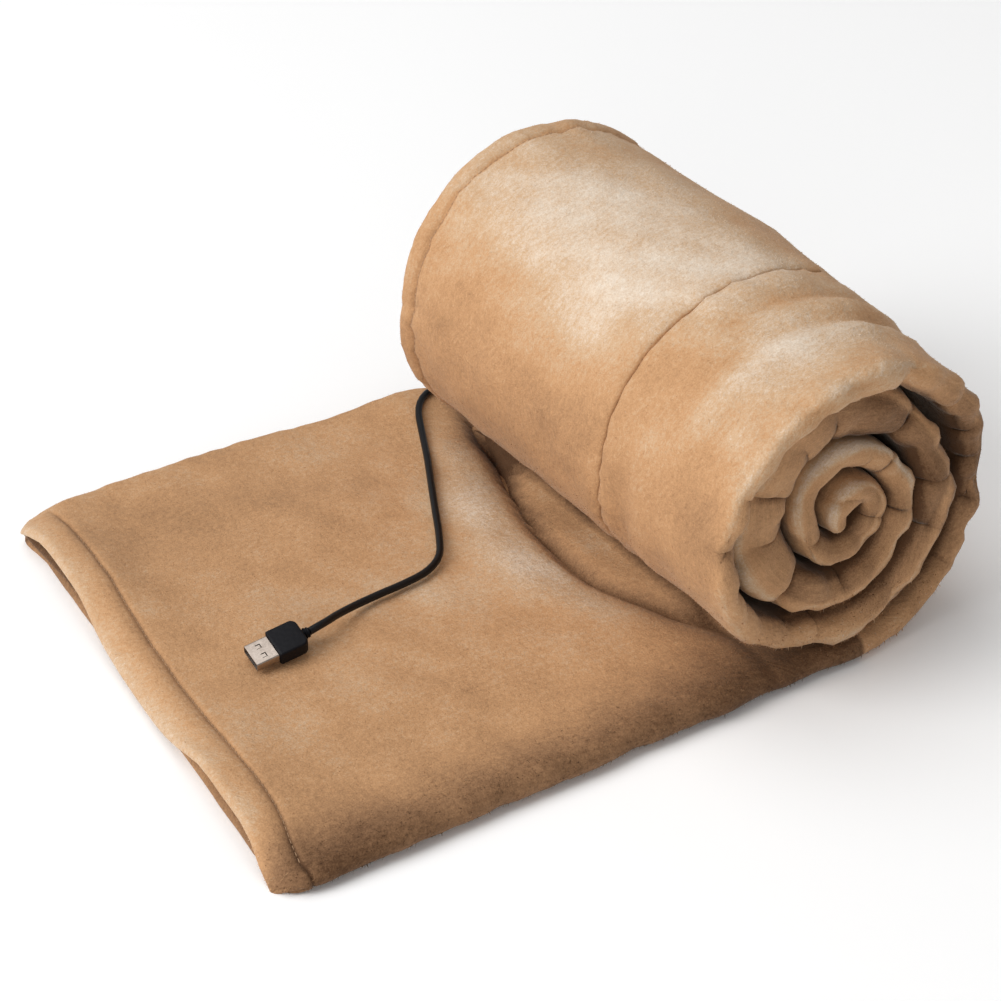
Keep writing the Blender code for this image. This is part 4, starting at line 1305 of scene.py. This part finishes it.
def make_shell(surface):
    """The plug's folded metal shell: a thin tube with two windows in each face, and a latch in each."""
    length, _, height = SHELL_SIZE
    back = GRIP_SIZE[0] / 2 + GAP
    body = bmesh.new()
    add_box(body, SHELL_SIZE)
    lines = [line for line in body.edges if abs(line.verts[0].co.x - line.verts[1].co.x) > 1]
    bevel(body, lines, SHELL_CORNER, 5)
    mouth = max(body.faces, key=lambda face: face.calc_center_median().x)
    bmesh.ops.delete(body, geom=[mouth], context="FACES")
    bmesh.ops.translate(body, vec=(back + length / 2, 0, 0), verts=body.verts)
    tube = finished("shell tube", body, Matrix.Identity(4), surface)
    thicken = tube.modifiers.new("Sheet", "SOLIDIFY")
    thicken.thickness = SHELL_WALL * MM
    thicken.offset = -1.0
    cutters = []
    for side in (-1, 1):
        body = bmesh.new()
        middle = (back + length - WINDOW_SETBACK, side * WINDOW_SPREAD / 2, 0)
        add_box(body, (WINDOW, WINDOW, 2 * height), middle)
        cutter = finished("window cutter", body, Matrix.Identity(4), surface)
        cut = tube.modifiers.new("Window", "BOOLEAN")
        cut.object = cutter
        cutters.append(cutter)
    bpy.context.view_layer.update()
    graph = bpy.context.evaluated_depsgraph_get()
    body = bmesh.new()
    body.from_mesh(tube.evaluated_get(graph).to_mesh())
    body.transform(Matrix.Scale(1 / MM, 4))
    for obj in cutters + [tube]:
        bpy.data.objects.remove(obj, do_unlink=True)
    for side in (-1, 1):
        for face in (-1, 1):
            middle = (back + length - WINDOW_SETBACK + LATCH_SLOT, side * WINDOW_SPREAD / 2,
                      face * (height / 2 - LATCH_DEPTH))
            add_box(body, (WINDOW, WINDOW - 2 * LATCH_SLOT, LATCH_SHEET), middle)
    return finished("plug_shell", body, plug_place(), surface)


def make_insulator(surface):
    """The insulator in the shell's lower half."""
    body = bmesh.new()
    add_box(body, INSULATOR_SIZE, insulator_middle(), INSULATOR_EDGE)
    return finished("plug_insulator", body, plug_place(), surface)


def insulator_middle():
    """The insulator's middle in the plug's own frame."""
    wall = SHELL_WALL_ROOM + GAP
    return (GRIP_SIZE[0] / 2 + GAP + wall + INSULATOR_SIZE[0] / 2, 0,
            -SHELL_SIZE[2] / 2 + wall + INSULATOR_SIZE[2] / 2)


def make_contacts(surface):
    """The four contacts, let into the insulator's upper face; the outer two reach further forward."""
    middle_x, _, middle_z = insulator_middle()
    front = middle_x + INSULATOR_SIZE[0] / 2
    body = bmesh.new()
    for across, length in CONTACTS:
        at = (front - CONTACT_SETBACK - length / 2 + (length - CONTACTS[1][1]) / 2, across,
              middle_z + INSULATOR_SIZE[2] / 2)
        add_box(body, (length, CONTACT_WIDTH, CONTACT_HEIGHT), at, CONTACT_EDGE, 2)
    return finished("plug_contacts", body, plug_place(), surface)


def make_relief(surface):
    """The ribbed, tapered strain relief at the hem."""
    body = bmesh.new()
    add_turned(body, RELIEF_PROFILE, 0.0, 1)
    place = Matrix.Translation(strip_point(*RELIEF_PLACE))
    return finished("strain_relief", body, place @ Matrix.Rotation(math.radians(90), 4, "Z"), surface)


# ================================================================ camera, light and floor
def make_camera():
    data = bpy.data.cameras.new("camera")
    data.lens = CAMERA_LENS
    data.sensor_width = CAMERA_SENSOR
    camera = linked("camera", data)
    camera.location = CAMERA_PLACE
    camera.rotation_euler = (math.radians(90 - CAMERA_ELEVATION), 0, math.radians(CAMERA_AZIMUTH))
    bpy.context.scene.camera = camera


def make_light(name, place, aim, size, power):
    data = bpy.data.lights.new(name, "AREA")
    data.shape = "DISK"
    data.size = size
    data.energy = power
    light = linked(name, data)
    light.location = place
    light.rotation_euler = (Vector(aim) - Vector(place)).to_track_quat("-Z", "Y").to_euler()


def make_studio():
    world = bpy.data.worlds.new("studio")
    world.use_nodes = True
    fill(world.node_tree.nodes["Background"], {"Color": (1.0, 1.0, 1.0, 1.0), "Strength": WORLD_STRENGTH})
    bpy.context.scene.world = world
    for row in LIGHTS:
        make_light(*row)
    bpy.ops.mesh.primitive_plane_add(size=FLOOR_SIZE)
    floor = bpy.context.object
    floor.name = "floor"
    floor.data.materials.append(new_material("pale floor", (0.99, 0.99, 0.99), 0.9)[0])
    bpy.context.scene.view_settings.view_transform = "Standard"


# ================================================================ the whole
def main():
    make_camera()
    make_studio()
    moulding = plain_material("black moulding")
    cord, route, length = make_cord(plain_material("black cord"))
    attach(cord, "root")
    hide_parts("cord")
    fittings = (
        (make_relief(moulding), "black_moulding", "cord_relief"),
        (make_grip(moulding), "black_moulding", "usb_grip"),
        (make_shell(plain_material("plated steel")), "plated_steel", "usb_shell"),
        (make_insulator(plain_material("dark insulator")), "dark_insulator", "usb_tongue"),
        (make_contacts(plain_material("contact plating")), "plated_steel", None),
    )
    for piece, slot, node in fittings:
        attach(piece, "root")
        if node:
            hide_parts(node)
    throw, paths = make_cloth(plush_material("camel plush", True))
    pile = make_pile(throw, plush_material("camel pile", False))
    stitches = make_stitches(paths, plain_material("thread"))
    for piece in (throw, pile, stitches):
        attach(piece, "root")
    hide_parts("blanket")


main()
